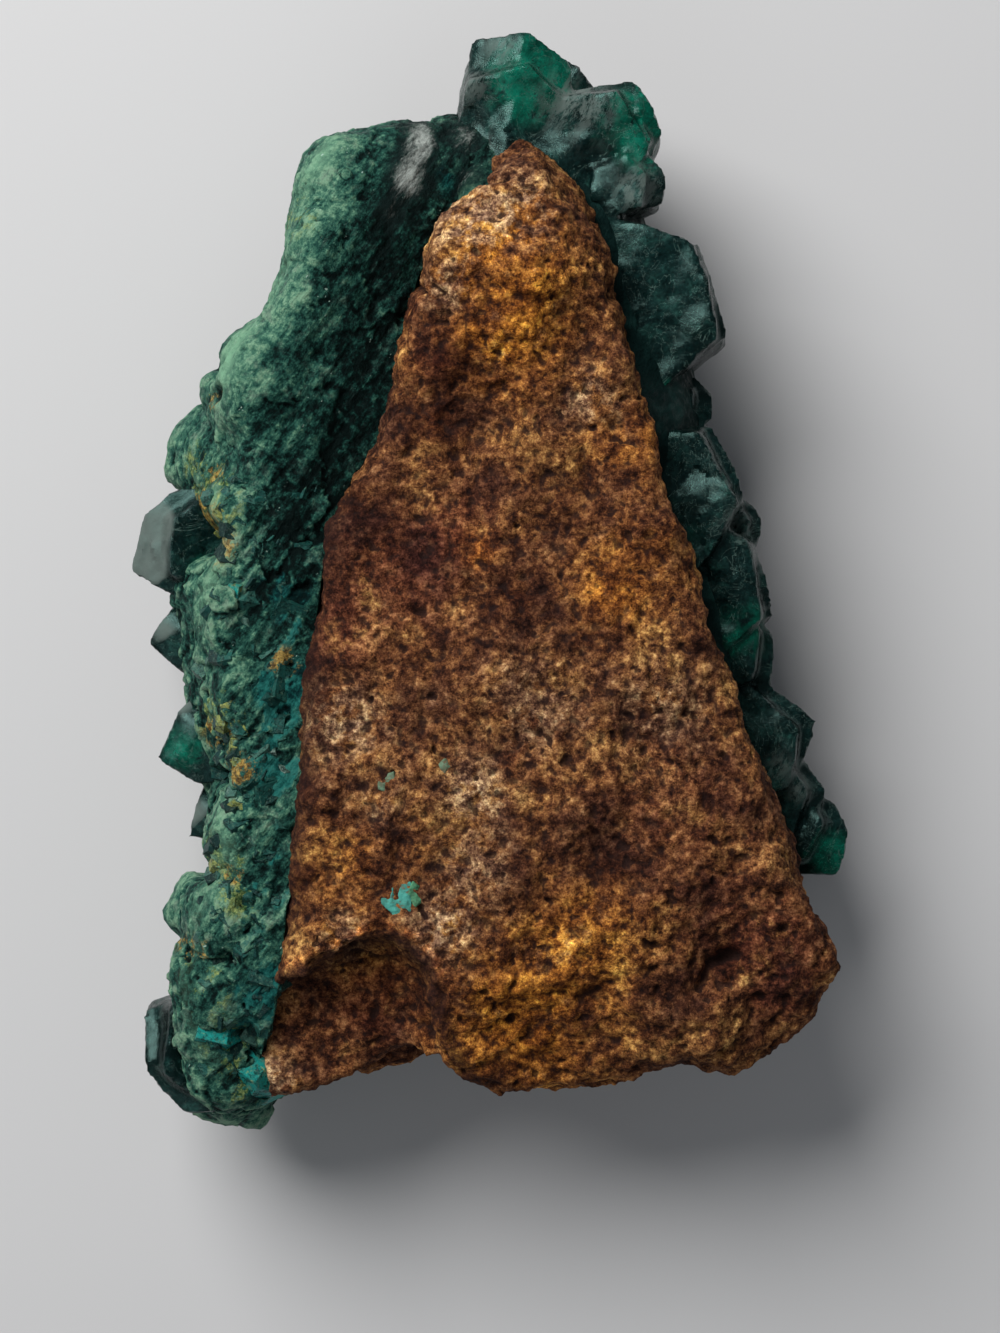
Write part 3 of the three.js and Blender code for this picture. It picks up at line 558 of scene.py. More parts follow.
def evened(mesh, rounds):
    """The mesh's points after rounds of moving each halfway to the middle of its neighbours."""
    points = coordinates(mesh)
    ends = np.empty(len(mesh.edges) * 2, int)
    mesh.edges.foreach_get("vertices", ends)
    a, b = ends.reshape(-1, 2).T
    count = np.bincount(a, minlength=len(points)) + np.bincount(b, minlength=len(points))
    smooth = points.copy()
    for _ in range(rounds):
        total = np.empty_like(smooth)
        for k in range(3):
            total[:, k] = (np.bincount(a, smooth[b, k], len(points))
                           + np.bincount(b, smooth[a, k], len(points)))
        smooth = 0.5 * smooth + 0.5 * total / count[:, None]
    return smooth


def relief(mesh, rounds, most=np.inf):
    """How far each vertex stands out of the mesh's own shape after rounds of smoothing."""
    out = ((coordinates(mesh) - evened(mesh, rounds)) * vertex_normals(mesh)).sum(1)
    return np.minimum(out, most)


def mesh_of(points, faces):
    mesh = bpy.data.meshes.new("made")
    mesh.from_pydata([tuple(p) for p in points], [], faces)
    mesh.update()
    return mesh


def mesh_from(bm, name="made"):
    mesh = bpy.data.meshes.new(name)
    bm.to_mesh(mesh)
    bm.free()
    return mesh


def in_order(mesh):
    """The mesh with its points and faces ordered by place: a hull's own order differs from run
    to run."""
    points = coordinates(mesh)
    order = np.lexsort(np.round(points, 4).T)
    rank = np.argsort(order)
    faces = []
    for polygon in mesh.polygons:
        corners = [int(rank[v]) for v in polygon.vertices]
        first = corners.index(min(corners))
        faces.append(tuple(corners[first:] + corners[:first]))
    return mesh_of(points[order], sorted(faces))


def hull(corners):
    """The closed body with flat faces round some corners."""
    bm = bmesh.new()
    for corner in corners:
        bm.verts.new(corner)
    bmesh.ops.remove_doubles(bm, verts=bm.verts, dist=SAME_PLACE)
    bmesh.ops.convex_hull(bm, input=bm.verts)
    return bm


def with_modifiers(mesh, *settings, operands=()):
    """The mesh after a stack of modifiers, each given as its kind and its values."""
    scratch = bpy.data.collections.new("scratch")
    bpy.context.scene.collection.children.link(scratch)
    for operand in operands:
        scratch.objects.link(bpy.data.objects.new("operand", operand))
    body = bpy.data.objects.new("body", mesh)
    bpy.context.scene.collection.objects.link(body)
    for kind, values in settings:
        modifier = body.modifiers.new(kind, kind)
        for key, value in values.items():
            setattr(modifier, key, value)
        if kind == "BOOLEAN":
            modifier.collection = scratch
    evaluated = body.evaluated_get(bpy.context.evaluated_depsgraph_get())
    result = bpy.data.meshes.new_from_object(evaluated)
    for thing in [body, *scratch.objects]:
        bpy.data.objects.remove(thing)
    bpy.data.collections.remove(scratch)
    return result


def boolean(mesh, operation, operands):
    """The mesh joined with all the operands, or without the space that they fill."""
    values = {"operation": operation, "solver": "MANIFOLD", "operand_type": "COLLECTION"}
    return with_modifiers(mesh, ("BOOLEAN", values), operands=operands)


def remeshed(mesh, voxel, smoothing=0):
    return with_modifiers(
        mesh,
        ("REMESH", {"mode": "VOXEL", "voxel_size": voxel}),
        ("SMOOTH", {"factor": 0.5, "iterations": smoothing}),
    )


def joined(meshes):
    """One mesh that holds all of these."""
    bm = bmesh.new()
    for mesh in meshes:
        bm.from_mesh(mesh)
    return mesh_from(bm)


def refined(mesh, shows):
    """The mesh with each face that shows cut in four, all in triangles."""
    bm = bmesh.new()
    bm.from_mesh(mesh)
    edges = {e for f in bm.faces if shows(f.calc_center_median(), f.normal) for e in f.edges}
    bmesh.ops.subdivide_edges(bm, edges=list(edges), cuts=1, use_grid_fill=True)
    bmesh.ops.triangulate(bm, faces=bm.faces)
    return mesh_from(bm)


def largest_part(mesh):
    """The mesh without any crumbs that a cut has left beside it."""
    bm = bmesh.new()
    bm.from_mesh(mesh)
    bm.verts.ensure_lookup_table()
    left, parts = set(bm.verts), []
    while left:
        front = [left.pop()]
        part = set(front)
        while front:
            here = front.pop()
            for edge in here.link_edges:
                other = edge.other_vert(here)
                if other in left:
                    left.remove(other)
                    part.add(other)
                    front.append(other)
        parts.append(part)
    parts.sort(key=len)
    for part in parts[:-1]:
        bmesh.ops.delete(bm, geom=list(part), context="VERTS")
    return mesh_from(bm)


def ball(middle, radius):
    bm = bmesh.new()
    shape = Matrix.LocRotScale(Vector(middle), None, Vector((radius, radius, radius)))
    bmesh.ops.create_icosphere(bm, subdivisions=2, radius=1, matrix=shape)
    return mesh_from(bm)


def surface_of(mesh):
    faces = [tuple(polygon.vertices) for polygon in mesh.polygons]
    return BVHTree.FromPolygons(coordinates(mesh).tolist(), faces)


def top_at(surface, x, y):
    """Where a line down from above first meets a surface, or None."""
    return surface.ray_cast(Vector((x, y, FAR_ABOVE)), Vector((0, 0, -1)))[0]


def painted(mesh, **values):
    """Gives each vertex some named numbers, which the materials read."""
    for name, numbers in values.items():
        attribute = mesh.attributes.new(name, "FLOAT", "POINT")
        attribute.data.foreach_set("value", np.asarray(numbers, np.float32))


def stained(mesh, points, stains, strength=1, **shares):
    """Paints how strong each kind of stain is, times its own share where there is one."""
    for name, spots in stains.items():
        amount = sum(share * spread(points, x, y, radius) for x, y, radius, share in spots)
        amount = amount * shares.get(name, 1)
        painted(mesh, **{name: strength * np.clip(amount, 0, 1)})


def cad_offset():
    """From the CAD's own coordinates to the frame, in millimetres."""
    low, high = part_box("turquoise_chip")
    middle = (low + high) / 2 / MM
    return Vector((middle.x - TURQUOISE_AT[0], middle.y - TURQUOISE_AT[1], 0))


OFFSET = cad_offset()


def cad_mesh(node, sunk=0):
    """A copy of a CAD node in millimetres, in the CAD's own coordinates or sunk below them."""
    mesh = frame["nodes"][node].data.copy()
    mesh.transform(Matrix.Translation(-OFFSET) @ Matrix.Scale(1 / MM, 4))
    bm = bmesh.new()
    bm.from_mesh(mesh)
    bmesh.ops.remove_doubles(bm, verts=bm.verts, dist=CAD_SEAM)
    mesh = mesh_from(bm)
    mesh.transform(Matrix.Translation((0, 0, -sunk)))
    return mesh


def make_piece(name, mesh, material, node, sharp=None):
    """Puts a finished mesh into the frame as a piece of the object."""
    mesh.transform(Matrix.Scale(MM, 4) @ Matrix.Translation(OFFSET))
    mesh.name = name
    mesh.materials.append(material)
    mesh.shade_smooth()
    if sharp is not None:
        mesh.set_sharp_from_angle(angle=math.radians(sharp))
    piece = bpy.data.objects.new(name, mesh)
    bpy.context.scene.collection.objects.link(piece)
    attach(piece, "root")
    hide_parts(node)


# ------------------------------------------------------------------ the matrix


def matrix_shows(centre, normal):
    return centre.z > MATRIX_SHOWS_FROM or normal.z > MATRIX_SHOWS_FACING


def crumbs(rock, draw):
    """Lumps of the matrix that stand on its surface in heaps."""
    surface = surface_of(rock)
    made = []
    for x, y, radius, count in MATRIX_CRUMBS:
        for _ in range(count):
            azimuth, away, size = math.tau * draw(), radius * draw(), between(draw, CRUMB_SIZE)
            hit = top_at(surface, x + away * math.cos(azimuth), y + away * math.sin(azimuth))
            if hit is not None:
                made.append(ball(hit - Vector((0, 0, CRUMB_SINK * size)), size))
    return made


def matrix_heights(points, out):
    """Ledges, cracks, sand grains, pores and a broad unevenness."""
    flat_top = smooth_step(out[:, 2], *LEDGES_FACE)
    height = np.zeros(len(points))
    for line, rise, width in LEDGES:
        away, side = beside(points, line)
        height += flat_top * rise * side * np.tanh(away / LEDGE_EDGE) * hump(away, width)
    for line, depth, width in CRACKS:
        away, _ = beside(points, line)
        height -= depth * hump(away, width)
    grain = cells(points, GRAIN_SIZE)
    lump = cells(points + waves(points, *LUMP_BEND)[:, None], LUMP_SIZE)
    pits = smooth_step(fractal(points + 40, PORE_SIZE, 2), *PORES_FROM)
    height += GRAIN_HEIGHT * (0.5 - grain) + LUMP_HEIGHT * (0.5 - lump) - PORE_DEPTH * pits
    return height + (waves(points, *MATRIX_BROAD) + waves(points, *MATRIX_FINE))


def matrix_mesh(draw):
    rock = cad_mesh("matrix")
    parts = [rock, *crumbs(rock, draw), *(ball((x, y, z), size) for x, y, z, size in MATRIX_FILL)]
    parts += [cad_mesh(node, CHIP_SINK) for node in CHIPS]
    rock = refined(remeshed(joined(parts), MATRIX_VOXEL, MATRIX_SMOOTHING), matrix_shows)
    points, out = coordinates(rock), vertex_normals(rock)
    place_vertices(rock, points + out * matrix_heights(points, out)[:, None])
    rim, _ = beside(points, CRUST_SHADOW_LINE)
    lip, side = beside(points, STEP_LIP)
    below, reach = UNDER_LIP
    # fine and broad are how far the surface stands out, read for painted shade in its hollows; rim is
    # painted shadow that the crust casts; under is painted shade below the step's lip.
    painted(
        rock, fine=relief(rock, 5), broad=relief(rock, 60), rim=hump(rim, CRUST_SHADOW_WIDTH),
        lip=hump(lip, LIP_WIDTH) * smooth_step(points[:, 1], *LIP_FADES),
        under=(side < 0) * hump(lip - below, reach),
    )
    stained(rock, points, MATRIX_STAINS)
    return rock


# ------------------------------------------------------------------ the massive crust


def half_width_at(y):
    (front, wide), (back, narrow) = RIND_TAPER
    width = wide + (y - front) / (back - front) * (narrow - wide)
    return np.clip(width, 0.8 * narrow, 1.2 * wide)


def rind_body():
    """The rind's rounded body, its outline drawn in along its profile in coordinates that undo
    its taper."""
    cx, cy = RIND_CENTRE
    rim = smooth_curve(RIND_OUTLINE, 10, closed=True)
    side = smooth_curve(RIND_PROFILE, 12, closed=False)[1:-1]
    u = (rim[:, 0] - cx) / half_width_at(rim[:, 1])
    v = (rim[:, 1] - cy) / RIND_HALF_LENGTH
    rings = []
    for share, level in side:
        y = cy + RIND_HALF_LENGTH * share * v
        x = cx + half_width_at(y) * share * u
        rise = sum(
            lift * np.exp(-((x - sx) ** 2 + (y - sy) ** 2) / radius**2)
            for sx, sy, radius, lift in RIND_SWELLS
        )
        rings.append(np.column_stack([x, y, RIND_LOW + level * (RIND_HIGH - RIND_LOW + rise)]))
    count = len(rim)
    points = np.vstack([*rings, [[cx, cy, RIND_HIGH]], [[cx, cy, RIND_LOW]]])
    top, bottom = len(points) - 2, len(points) - 1
    lowest = (len(rings) - 1) * count
    faces = []
    for start in range(0, lowest, count):
        for i in range(count):
            j = (i + 1) % count
            faces.append((start + i, start + j, start + count + j, start + count + i))
    for i in range(count):
        j = (i + 1) % count
        faces.append((top, j, i))
        faces.append((bottom, lowest + i, lowest + j))
    return mesh_of(points, faces)


def knob_meshes(draw):
    ridge = smooth_curve(RIDGE, 20, closed=False)
    steps = np.linalg.norm(np.diff(ridge, axis=0), axis=1)
    along = np.concatenate([[0], np.cumsum(steps)])
    knobs = []
    for share in np.linspace(0, 1, KNOB_COUNT):
        crest = [np.interp(share * along[-1], along, ridge[:, k]) for k in range(3)]
        half = between(draw, KNOB_SIZE)
        aside = stray(draw, KNOB_STRAY)
        centre = Vector(crest)
        centre.x += aside
        centre.z -= half * KNOB_HEIGHT + KNOB_FALL * abs(aside)
        halves = Vector((half, half * KNOB_LENGTH, half * KNOB_HEIGHT))
        shape = Matrix.LocRotScale(centre, None, halves)
        bm = bmesh.new()
        bmesh.ops.create_icosphere(bm, subdivisions=4, radius=1, matrix=shape)
        knobs.append(mesh_from(bm))
    return knobs


def opening():
    """The space over the matrix, a little narrower than it, with an uneven rim."""
    rim = smooth_curve(MATRIX_OUTLINE, 8, closed=True)
    along = np.roll(rim, -1, 0) - np.roll(rim, 1, 0)
    inward = np.column_stack([along[:, 1], -along[:, 0]])
    inward /= np.linalg.norm(inward, axis=1)[:, None]
    wander = fractal(np.column_stack([rim, np.zeros(len(rim))]), 1.6, 3)
    rim += inward * (OPENING_SHRINK + OPENING_WANDER * wander)[:, None]
    bm = bmesh.new()
    foot = bm.faces.new([bm.verts.new((x, y, OPENING_LEVEL)) for x, y in rim])
    grown = bmesh.ops.extrude_face_region(bm, geom=[foot])["geom"]
    for vertex in (v for v in grown if isinstance(v, bmesh.types.BMVert)):
        vertex.co.z = RIND_HIGH * 2
    bmesh.ops.recalc_face_normals(bm, faces=bm.faces)
    bmesh.ops.triangulate(bm, faces=bm.faces)
    return mesh_from(bm)


def matrix_socket():
    """The space that the matrix fills, a little smaller than it."""
    socket = remeshed(cad_mesh("matrix"), SOCKET_VOXEL, MATRIX_SMOOTHING)
    place_vertices(socket, coordinates(socket) - SOCKET_SHRINK * vertex_normals(socket))
    return socket


def sloped(points):
    """Takes the left band's points down to the slope from its crest to its foot."""
    y, crest, crest_level, foot, foot_level = np.array(RIND_SLOPE).T
    across = [np.interp(points[:, 1], y, row) for row in (crest, foot, crest_level, foot_level)]
    share = np.clip((points[:, 0] - across[0]) / (across[1] - across[0]), -0.5, 1.5)
    level = across[2] + share * (across[3] - across[2])
    level += FAR_ABOVE * smooth_step(points[:, 0], *GLASSY_FROM)
    soft = SLOPE_ROUNDING
    lower = -soft * np.logaddexp(-points[:, 2] / soft, -level / soft)
    return np.column_stack([points[:, :2], lower])


def rind_shows(centre, normal):
    return centre.z > RIND_SHOWS_FROM and normal.z > RIND_SHOWS_FACING


def rind_heights(points, blocks, splinters, broken, glassy):
    """The rind's facets, fibres, pits and swells, of which only the swells go on where it is
    glassy. What is added to the points keeps one noise from following another."""
    drawn_out = points @ FIBRE
    creases = 1 - np.abs(fractal(drawn_out + 31, *CREASES))
    pits = smooth_step(fractal(points + 70, *RIND_PITS), *RIND_PITS_FROM)
    height = broken * (blocks + splinters - RIND_PIT_DEPTH * pits) + CREASE_HEIGHT * creases
    height += waves(drawn_out + 5, *RIND_FIBRES) + waves(points, *RIND_FINE)
    height = RIND_SWELLING + waves(points, *RIND_BROAD) + (1 - glassy) * height
    height += EVEN_SWELLING * smooth_step(points[:, 1], *EVEN_FADES)
    for x, y, radius, depth in RIND_HOLES:
        height -= depth * spread(points, x, y, radius)
    return height


def rind_mesh(draw, coated):
    lumps = [ball(Vector(middle), radius) for middle, radius in RIND_LUMPS]
    rind = joined([rind_body(), *knob_meshes(draw), *coated, *lumps])
    rind = remeshed(rind, RIND_VOXEL, RIND_SMOOTHING)
    points = coordinates(rind)
    even = smooth_step(points[:, 1], *EVEN_FADES)[:, None]
    place_vertices(rind, sloped(points + even * (evened(rind, EVEN_ROUNDS) - points)))
    rind = refined(rind, rind_shows)
    points, out = coordinates(rind), vertex_normals(rind)
    glassy = smooth_step(points[:, 0], *GLASSY_FROM)
    broken = 1 - 0.5 * smooth_step(points[:, 1], *BROKEN_FADES)
    blocks, tint = facets(points + waves(points, *BLOCK_BEND)[:, None], *RIND_BLOCKS)
    splinters, fine_tint = facets(points @ FIBRE, *RIND_SPLINTERS)
    height = rind_heights(points, blocks, splinters, broken, glassy)
    place_vertices(rind, points + out * height[:, None])
    crest, _ = beside(points, RIND_CREST)
    valley, _ = beside(points, RIND_VALLEY)
    high = smooth_step(points[:, 2], *STAINED_FROM)
    strength = smooth_step(points[:, 2], *CREST_LEVELS)
    strength *= 0.35 + 0.65 * smooth_step(points[:, 1], *CREST_FADES)
    # Painted light and shade: fine and broad where the rind stands out or sinks, crest, line and lobe
    # along its lit crest, valley in the shaded valley beside the matrix.
    painted(
        rind, fine=relief(rind, 4, FINE_MOST), broad=relief(rind, 50, BROAD_MOST), glassy=glassy,
        crest=strength * hump(crest, CREST_WIDTH), lobe=high * spread(points, *RIND_PALE),
        tint=tint * broken, fine_tint=fine_tint * broken, valley=hump(valley, VALLEY_WIDTH),
        line=strength * hump(crest, CREST_LINE),
    )
    stained(rind, points, RIND_STAINS, high)
    return largest_part(boolean(rind, "DIFFERENCE", [matrix_socket(), opening()]))


# ------------------------------------------------------------------ the crystals


def crystal_planes(width, length, draw):
    """The faces of a hexagonal crystal whose tip points down: outward normals and distances."""
    planes = []
    for side in range(6):
        azimuth = math.radians(30 + 60 * side)
        uneven = 1 + SIDE_UNEVENNESS * math.sin(5.3 * side + 9.7 * width)
        planes.append(((math.cos(azimuth), math.sin(azimuth), 0), uneven * width / 2))
    slope = TERMINATION_SLOPE
    for face in range(3):
        azimuth = math.radians(120 * face)
        outward = (math.sin(slope) * math.cos(azimuth), math.sin(slope) * math.sin(azimuth),
                   -math.cos(slope))
        planes.append((outward, length / 2 * math.cos(slope) - UNEVENNESS * width * draw()))
    planes.append(((0, 0, 1), length / 2))
    return planes


def corner_points(planes):
    """Where three of the planes meet and no other plane cuts the corner off."""
    normals = np.array([normal for normal, _ in planes])
    distances = np.array([distance for _, distance in planes])
    corners = []
    for trio in itertools.combinations(range(len(planes)), 3):
        chosen = normals[list(trio)]
        if abs(np.linalg.det(chosen)) < NEARLY_NONE:
            continue
        corner = np.linalg.solve(chosen, distances[list(trio)])
        if (normals @ corner <= distances + NEARLY_NONE).all():
            corners.append(corner)
    return corners


def placed_corners(planes, placed):
    return [placed @ Vector(corner) for corner in corner_points(planes)]


def crystal_mesh(planes, placed):
    """A crystal with worn edges and faces that aren't quite flat, where placed puts it."""
    rough = hull(corner_points(planes))
    bmesh.ops.dissolve_limit(rough, angle_limit=0.01, verts=rough.verts, edges=rough.edges)
    body = in_order(mesh_from(rough))
    bm = bmesh.new()
    bm.from_mesh(body)
    bmesh.ops.bevel(bm, geom=bm.edges[:], offset=EDGE_WEAR, segments=2, profile=0.5,
                    affect="EDGES", clamp_overlap=True)
    for _ in range(MOST_CUTS):
        long_edges = [e for e in bm.edges if e.calc_length() > LONGEST_SIDE]
        if not long_edges:
            break
        bmesh.ops.subdivide_edges(bm, edges=long_edges, cuts=1, use_grid_fill=True)
        bmesh.ops.triangulate(bm, faces=[f for f in bm.faces if len(f.verts) > 4])
    bmesh.ops.triangulate(bm, faces=bm.faces)
    bm.transform(placed)
    bm.normal_update()
    moves = []
    for v in bm.verts:
        broad = noise.fractal(v.co / SWELL_SIZE, 1, FINER, 4)
        step = math.tanh(STEP_STEEPNESS * noise.noise(v.co / STEP_SIZE + Vector((7, 3, 1))))
        moves.append(v.normal * (CRYSTAL_SWELL * broad + CRYSTAL_STEP * step))
    for v, move in zip(bm.verts, moves):
        v.co += move
    return in_order(mesh_from(bm))


def hung(middle, heading, lean, turn):
    """Puts a crystal's middle at a place, turned about its axis and then leaned out from down."""
    across = Vector((math.sin(math.radians(heading)), -math.cos(math.radians(heading)), 0))
    tilt = Quaternion(across, math.radians(lean))
    turned = Quaternion(Vector((0, 0, 1)), math.radians(turn))
    return Matrix.LocRotScale(Vector(middle), tilt @ turned, None)


def lifted(planes, placed):
    """Raises a crystal that would end below the lowest level for a tip."""
    lowest = min(corner.z for corner in placed_corners(planes, placed))
    return Matrix.Translation((0, 0, max(0, LOWEST_TIP - lowest))) @ placed


def is_inside(outline, x, y):
    crossings = 0
    for (x1, y1), (x2, y2) in zip(outline, outline[1:] + outline[:1]):
        if (y1 > y) != (y2 > y) and x < x1 + (y - y1) / (y2 - y1) * (x2 - x1):
            crossings += 1
    return crossings % 2 == 1


def is_free(x, y):
    taken = [middle[:2] for middle, *_ in EDGE_CRYSTALS] + FEET
    return all(math.hypot(tx - x, ty - y) >= KEEP_CLEAR for tx, ty in taken)


def edge_crystals(draw):
    made = []
    for middle, width, length, heading, lean, turn in EDGE_CRYSTALS:
        planes = crystal_planes(width, length, draw)
        made.append((planes, lifted(planes, hung(middle, heading, lean, turn))))
    return made


def side_crystals(draw):
    rim = [Vector(p) for p in RIND_OUTLINE]
    sides = [(b - a) for a, b in zip(rim, rim[1:] + rim[:1])]
    lengths = [side.length for side in sides]
    total = sum(lengths)
    count = round(total / SIDE_SPACING)
    made = []
    for level, lean, proud in SIDE_ROWS:
        for i in range(count):
            left = (i + draw()) / count * total
            k = 0
            while left > lengths[k]:
                left -= lengths[k]
                k += 1
            along = sides[k].normalized()
            x, y = rim[k] + along * left
            width = between(draw, SIDE_WIDTH)
            length = width * LENGTH_OVER_WIDTH
            out = proud + STRAY * draw() - length / 2 * math.sin(math.radians(lean))
            middle = (x - along.y * out, y + along.x * out, level + stray(draw, STRAY))
            heading = math.degrees(math.atan2(along.x, -along.y))
            tilt = lean + stray(draw, SIDE_LEAN_STRAY)
            turn = REPEAT_TURN * draw()
            if not is_free(*middle[:2]):
                continue
            planes = crystal_planes(width, length, draw)
            made.append((planes, lifted(planes, hung(middle, heading, tilt, turn))))
    return made


def underside_crystals(draw):
    made = []
    for row in range(-HONEYCOMB_ROWS, HONEYCOMB_ROWS + 1):
        for column in range(-HONEYCOMB_COLUMNS, HONEYCOMB_COLUMNS + 1):
            x = HONEYCOMB * (column + math.fmod(row, 2) / 2) + stray(draw, STRAY)
            y = HONEYCOMB * row * math.sin(math.pi / 3) + stray(draw, STRAY)
            width = between(draw, UNDERSIDE_WIDTH)
            length = width * LENGTH_OVER_WIDTH
            middle = (x, y, between(draw, UNDERSIDE_TIPS) + length / 2)
            heading, lean, turn = 360 * draw(), UNDERSIDE_LEAN * draw(), REPEAT_TURN * draw()
            if not is_inside(RIND_OUTLINE, x, y) or not is_free(x, y):
                continue
            planes = crystal_planes(width, length, draw)
            made.append((planes, lifted(planes, hung(middle, heading, lean, turn))))
    return made


def foot_crystals(draw):
    made = []
    for x, y in FEET:
        planes = crystal_planes(FOOT_WIDTH, FOOT_LENGTH, draw)
        heading, lean, turn = 360 * draw(), FOOT_LEAN * draw(), REPEAT_TURN * draw()
        made.append((planes, hung((x, y, FOOT_LENGTH / 2 - FOOT_WEAR), heading, lean, turn)))
    return made


def reaches_out(crystal):
    """Whether a crystal would show past the matrix's broken front."""
    low, high, edge_y = BARE_FRONT
    return any(low < c.x < high and c.y < edge_y for c in placed_corners(*crystal))


def outer_corners(points):
    """The corners of the smallest outline round some places seen from above, counterclockwise."""
    ordered = sorted((round(x, 4), round(y, 4)) for x, y, _ in points)
    half = []
    for run in (ordered, ordered[::-1]):
        chain = []
        for p in run:
            while len(chain) > 1:
                (ax, ay), (bx, by) = chain[-2:]
                if (bx - ax) * (p[1] - ay) - (by - ay) * (p[0] - ax) > OUTLINE_BEND:
                    break
                chain.pop()
            chain.append(p)
        half += chain[:-1]
    return half


def cap(crystal, heading, faces, draw):
    """A crystal as it shows from above: as wide as its own outline, with a gently faceted,
    outward sloping top."""
    corners = placed_corners(*crystal)
    top = max(corner.z for corner in corners)
    outline = outer_corners(corners)
    middle = sum((Vector((*p, 0)) for p in outline), Vector()) / len(outline)
    made = [((0, 0, -1), CAP_DEPTH - top)]
    undercut = math.radians(CAP_UNDERCUT)
    for (ax, ay), (bx, by) in zip(outline, outline[1:] + outline[:1]):
        flat = Vector((by - ay, ax - bx, 0)).normalized()
        outward = flat * math.cos(undercut) - Vector((0, 0, math.sin(undercut)))
        made.append((tuple(outward), outward.dot(Vector((ax, ay, top - CAP_SHOULDER)))))
    for turn, slope, drop in faces:
        azimuth = math.radians(heading + turn + stray(draw, 2 * CAP_STRAY))
        tilt = math.radians(slope + stray(draw, CAP_STRAY))
        outward = Vector((math.sin(tilt) * math.cos(azimuth), math.sin(tilt) * math.sin(azimuth),
                          math.cos(tilt)))
        made.append((tuple(outward), outward.dot(middle + Vector((0, 0, top - drop)))))
    return in_order(mesh_from(hull(corner_points(made))))


def vitreous_mesh(edge, draw):
    """The edge crystals that show, with their caps, fused and softly worn."""
    parts = []
    for place in range(len(edge)):
        if place in COATED + BURIED:
            continue
        heading, faces = EDGE_CRYSTALS[place][3], CAP_FACES_OF.get(place, CAP_FACES)
        parts.append(crystal_mesh(*edge[place]))
        parts.append(cap(edge[place], heading, faces, draw))
    band = remeshed(joined(parts), BAND_VOXEL, BAND_SMOOTHING)
    points, out = coordinates(band), vertex_normals(band)
    height = facets(points, *BROAD_FACETS)[0] + facets(points, *FINE_FACETS)[0]
    height += waves(points, *BAND_FINE)
    place_vertices(band, points + out * height[:, None])
    return band


def floor_cutter():
    """A slab that takes off what would reach below the level that the specimen rests on."""
    bm = bmesh.new()
    bmesh.ops.create_cube(bm, size=100, matrix=Matrix.Translation((0, 0, -50)))
    return mesh_from(bm)


def crystals_mesh(crystals, band):
    union = boolean(band, "UNION", [crystal_mesh(*crystal) for crystal in crystals])
    whole = largest_part(boolean(union, "DIFFERENCE", [floor_cutter()]))
    points, out = coordinates(whole), vertex_normals(whole)
    painted(
        whole, broad=facets(points, *BROAD_FACETS)[1], fine=facets(points, *FINE_FACETS)[1],
        # the steep sides are darkened as painted shade
        steep=smooth_step(-out[:, 2], -0.75, -0.3),
    )
    stained(
        whole, points, CRYSTAL_STAINS, smooth_step(points[:, 2], *CRYSTALS_STAINED_FROM),
        # the whitened faces take a painted sheen on the side toward the light
        bleached=smooth_step(out @ np.array(BLEACHED_AND_SHEEN_SIDE), -0.15, 0.15),
        # the emerald spots are a painted glow, strongest on faces toward GLOWING_SIDE
        emerald=0.55 + 0.45 * smooth_step(out @ np.array(GLOWING_SIDE), -0.12, 0.1),
    )
    return whole


def druse_mesh(rind, draw):
    """Small crystals whose tips stand out of the left band's broken surface."""
    surface = surface_of(rind)
    y_rows, crest, _, foot, _ = np.array(RIND_SLOPE).T
    places = list(DRUSE_PLACES)
    for _ in range(DRUSE_COUNT):
        y, share = between(draw, DRUSE_ROWS), between(draw, DRUSE_ACROSS)
        x = np.interp(y, y_rows, crest) * (1 - share) + np.interp(y, y_rows, foot) * share
        hue = DRUSE_HUES[int(draw() * len(DRUSE_HUES))]
        width, lean, heading = between(draw, DRUSE_WIDTH), between(draw, DRUSE_LEAN), 360 * draw()
        places.append((x, y, width, lean, heading, hue))
    made, hues = [], []
    for x, y, width, lean, heading, hue in places:
        hit = top_at(surface, x, y)
        planes = crystal_planes(width, LENGTH_OVER_WIDTH * width, draw)
        turn = REPEAT_TURN * draw()
        if hit is None:
            continue
        place = hung(hit - Vector((0, 0, DRUSE_SINK * width)), heading, 180 - lean, turn)
        made.append(in_order(mesh_from(hull(placed_corners(planes, place)))))
        hues += [hue] * len(made[-1].vertices)
    druse = joined(made)
    painted(druse, hue=np.array(hues))
    return druse


# ------------------------------------------------------------------ the grains on the matrix


def shard(middle, half, aside, draw):
    """A jagged piece of a grain, of corners at six headings and two levels."""
    bm = bmesh.new()
    for _ in range(6):
        azimuth, reach = math.tau * draw(), between(draw, SHARD_REACH)
        for level in (-1, 1 - SHARD_UNEVENNESS * draw()):
            corner = np.array([reach * math.cos(azimuth), reach * math.sin(azimuth), level])
            bm.verts.new(middle + half * (aside + corner))
    bmesh.ops.convex_hull(bm, input=bm.verts)
    return mesh_from(bm)


def chip_mesh(node, spread_by, aside_by, draw):
    """A small, jagged grain over the CAD's chip, of a few flat shards."""
    chip = cad_mesh(node)
    low, high = coordinates(chip).min(0), coordinates(chip).max(0)
    middle, half = (low + high) / 2, (high - low) / 2 * np.array([*spread_by, 1])
    middle += np.array([*aside_by, -CHIP_PROUD])
    shards = [shard(middle, half, np.zeros(3), draw)]
    for _ in range(1, CHIP_SHARDS):
        aside = np.array([stray(draw, SHARD_STRAY), stray(draw, SHARD_STRAY), 0])
        shards.append(shard(middle, half, aside, draw))
    chip = remeshed(joined(shards), CHIP_VOXEL, 1)
    points, out = coordinates(chip), vertex_normals(chip)
    place_vertices(chip, points + out * waves(points, *CHIP_FINE)[:, None])
    return largest_part(chip)


# ------------------------------------------------------------------ materials


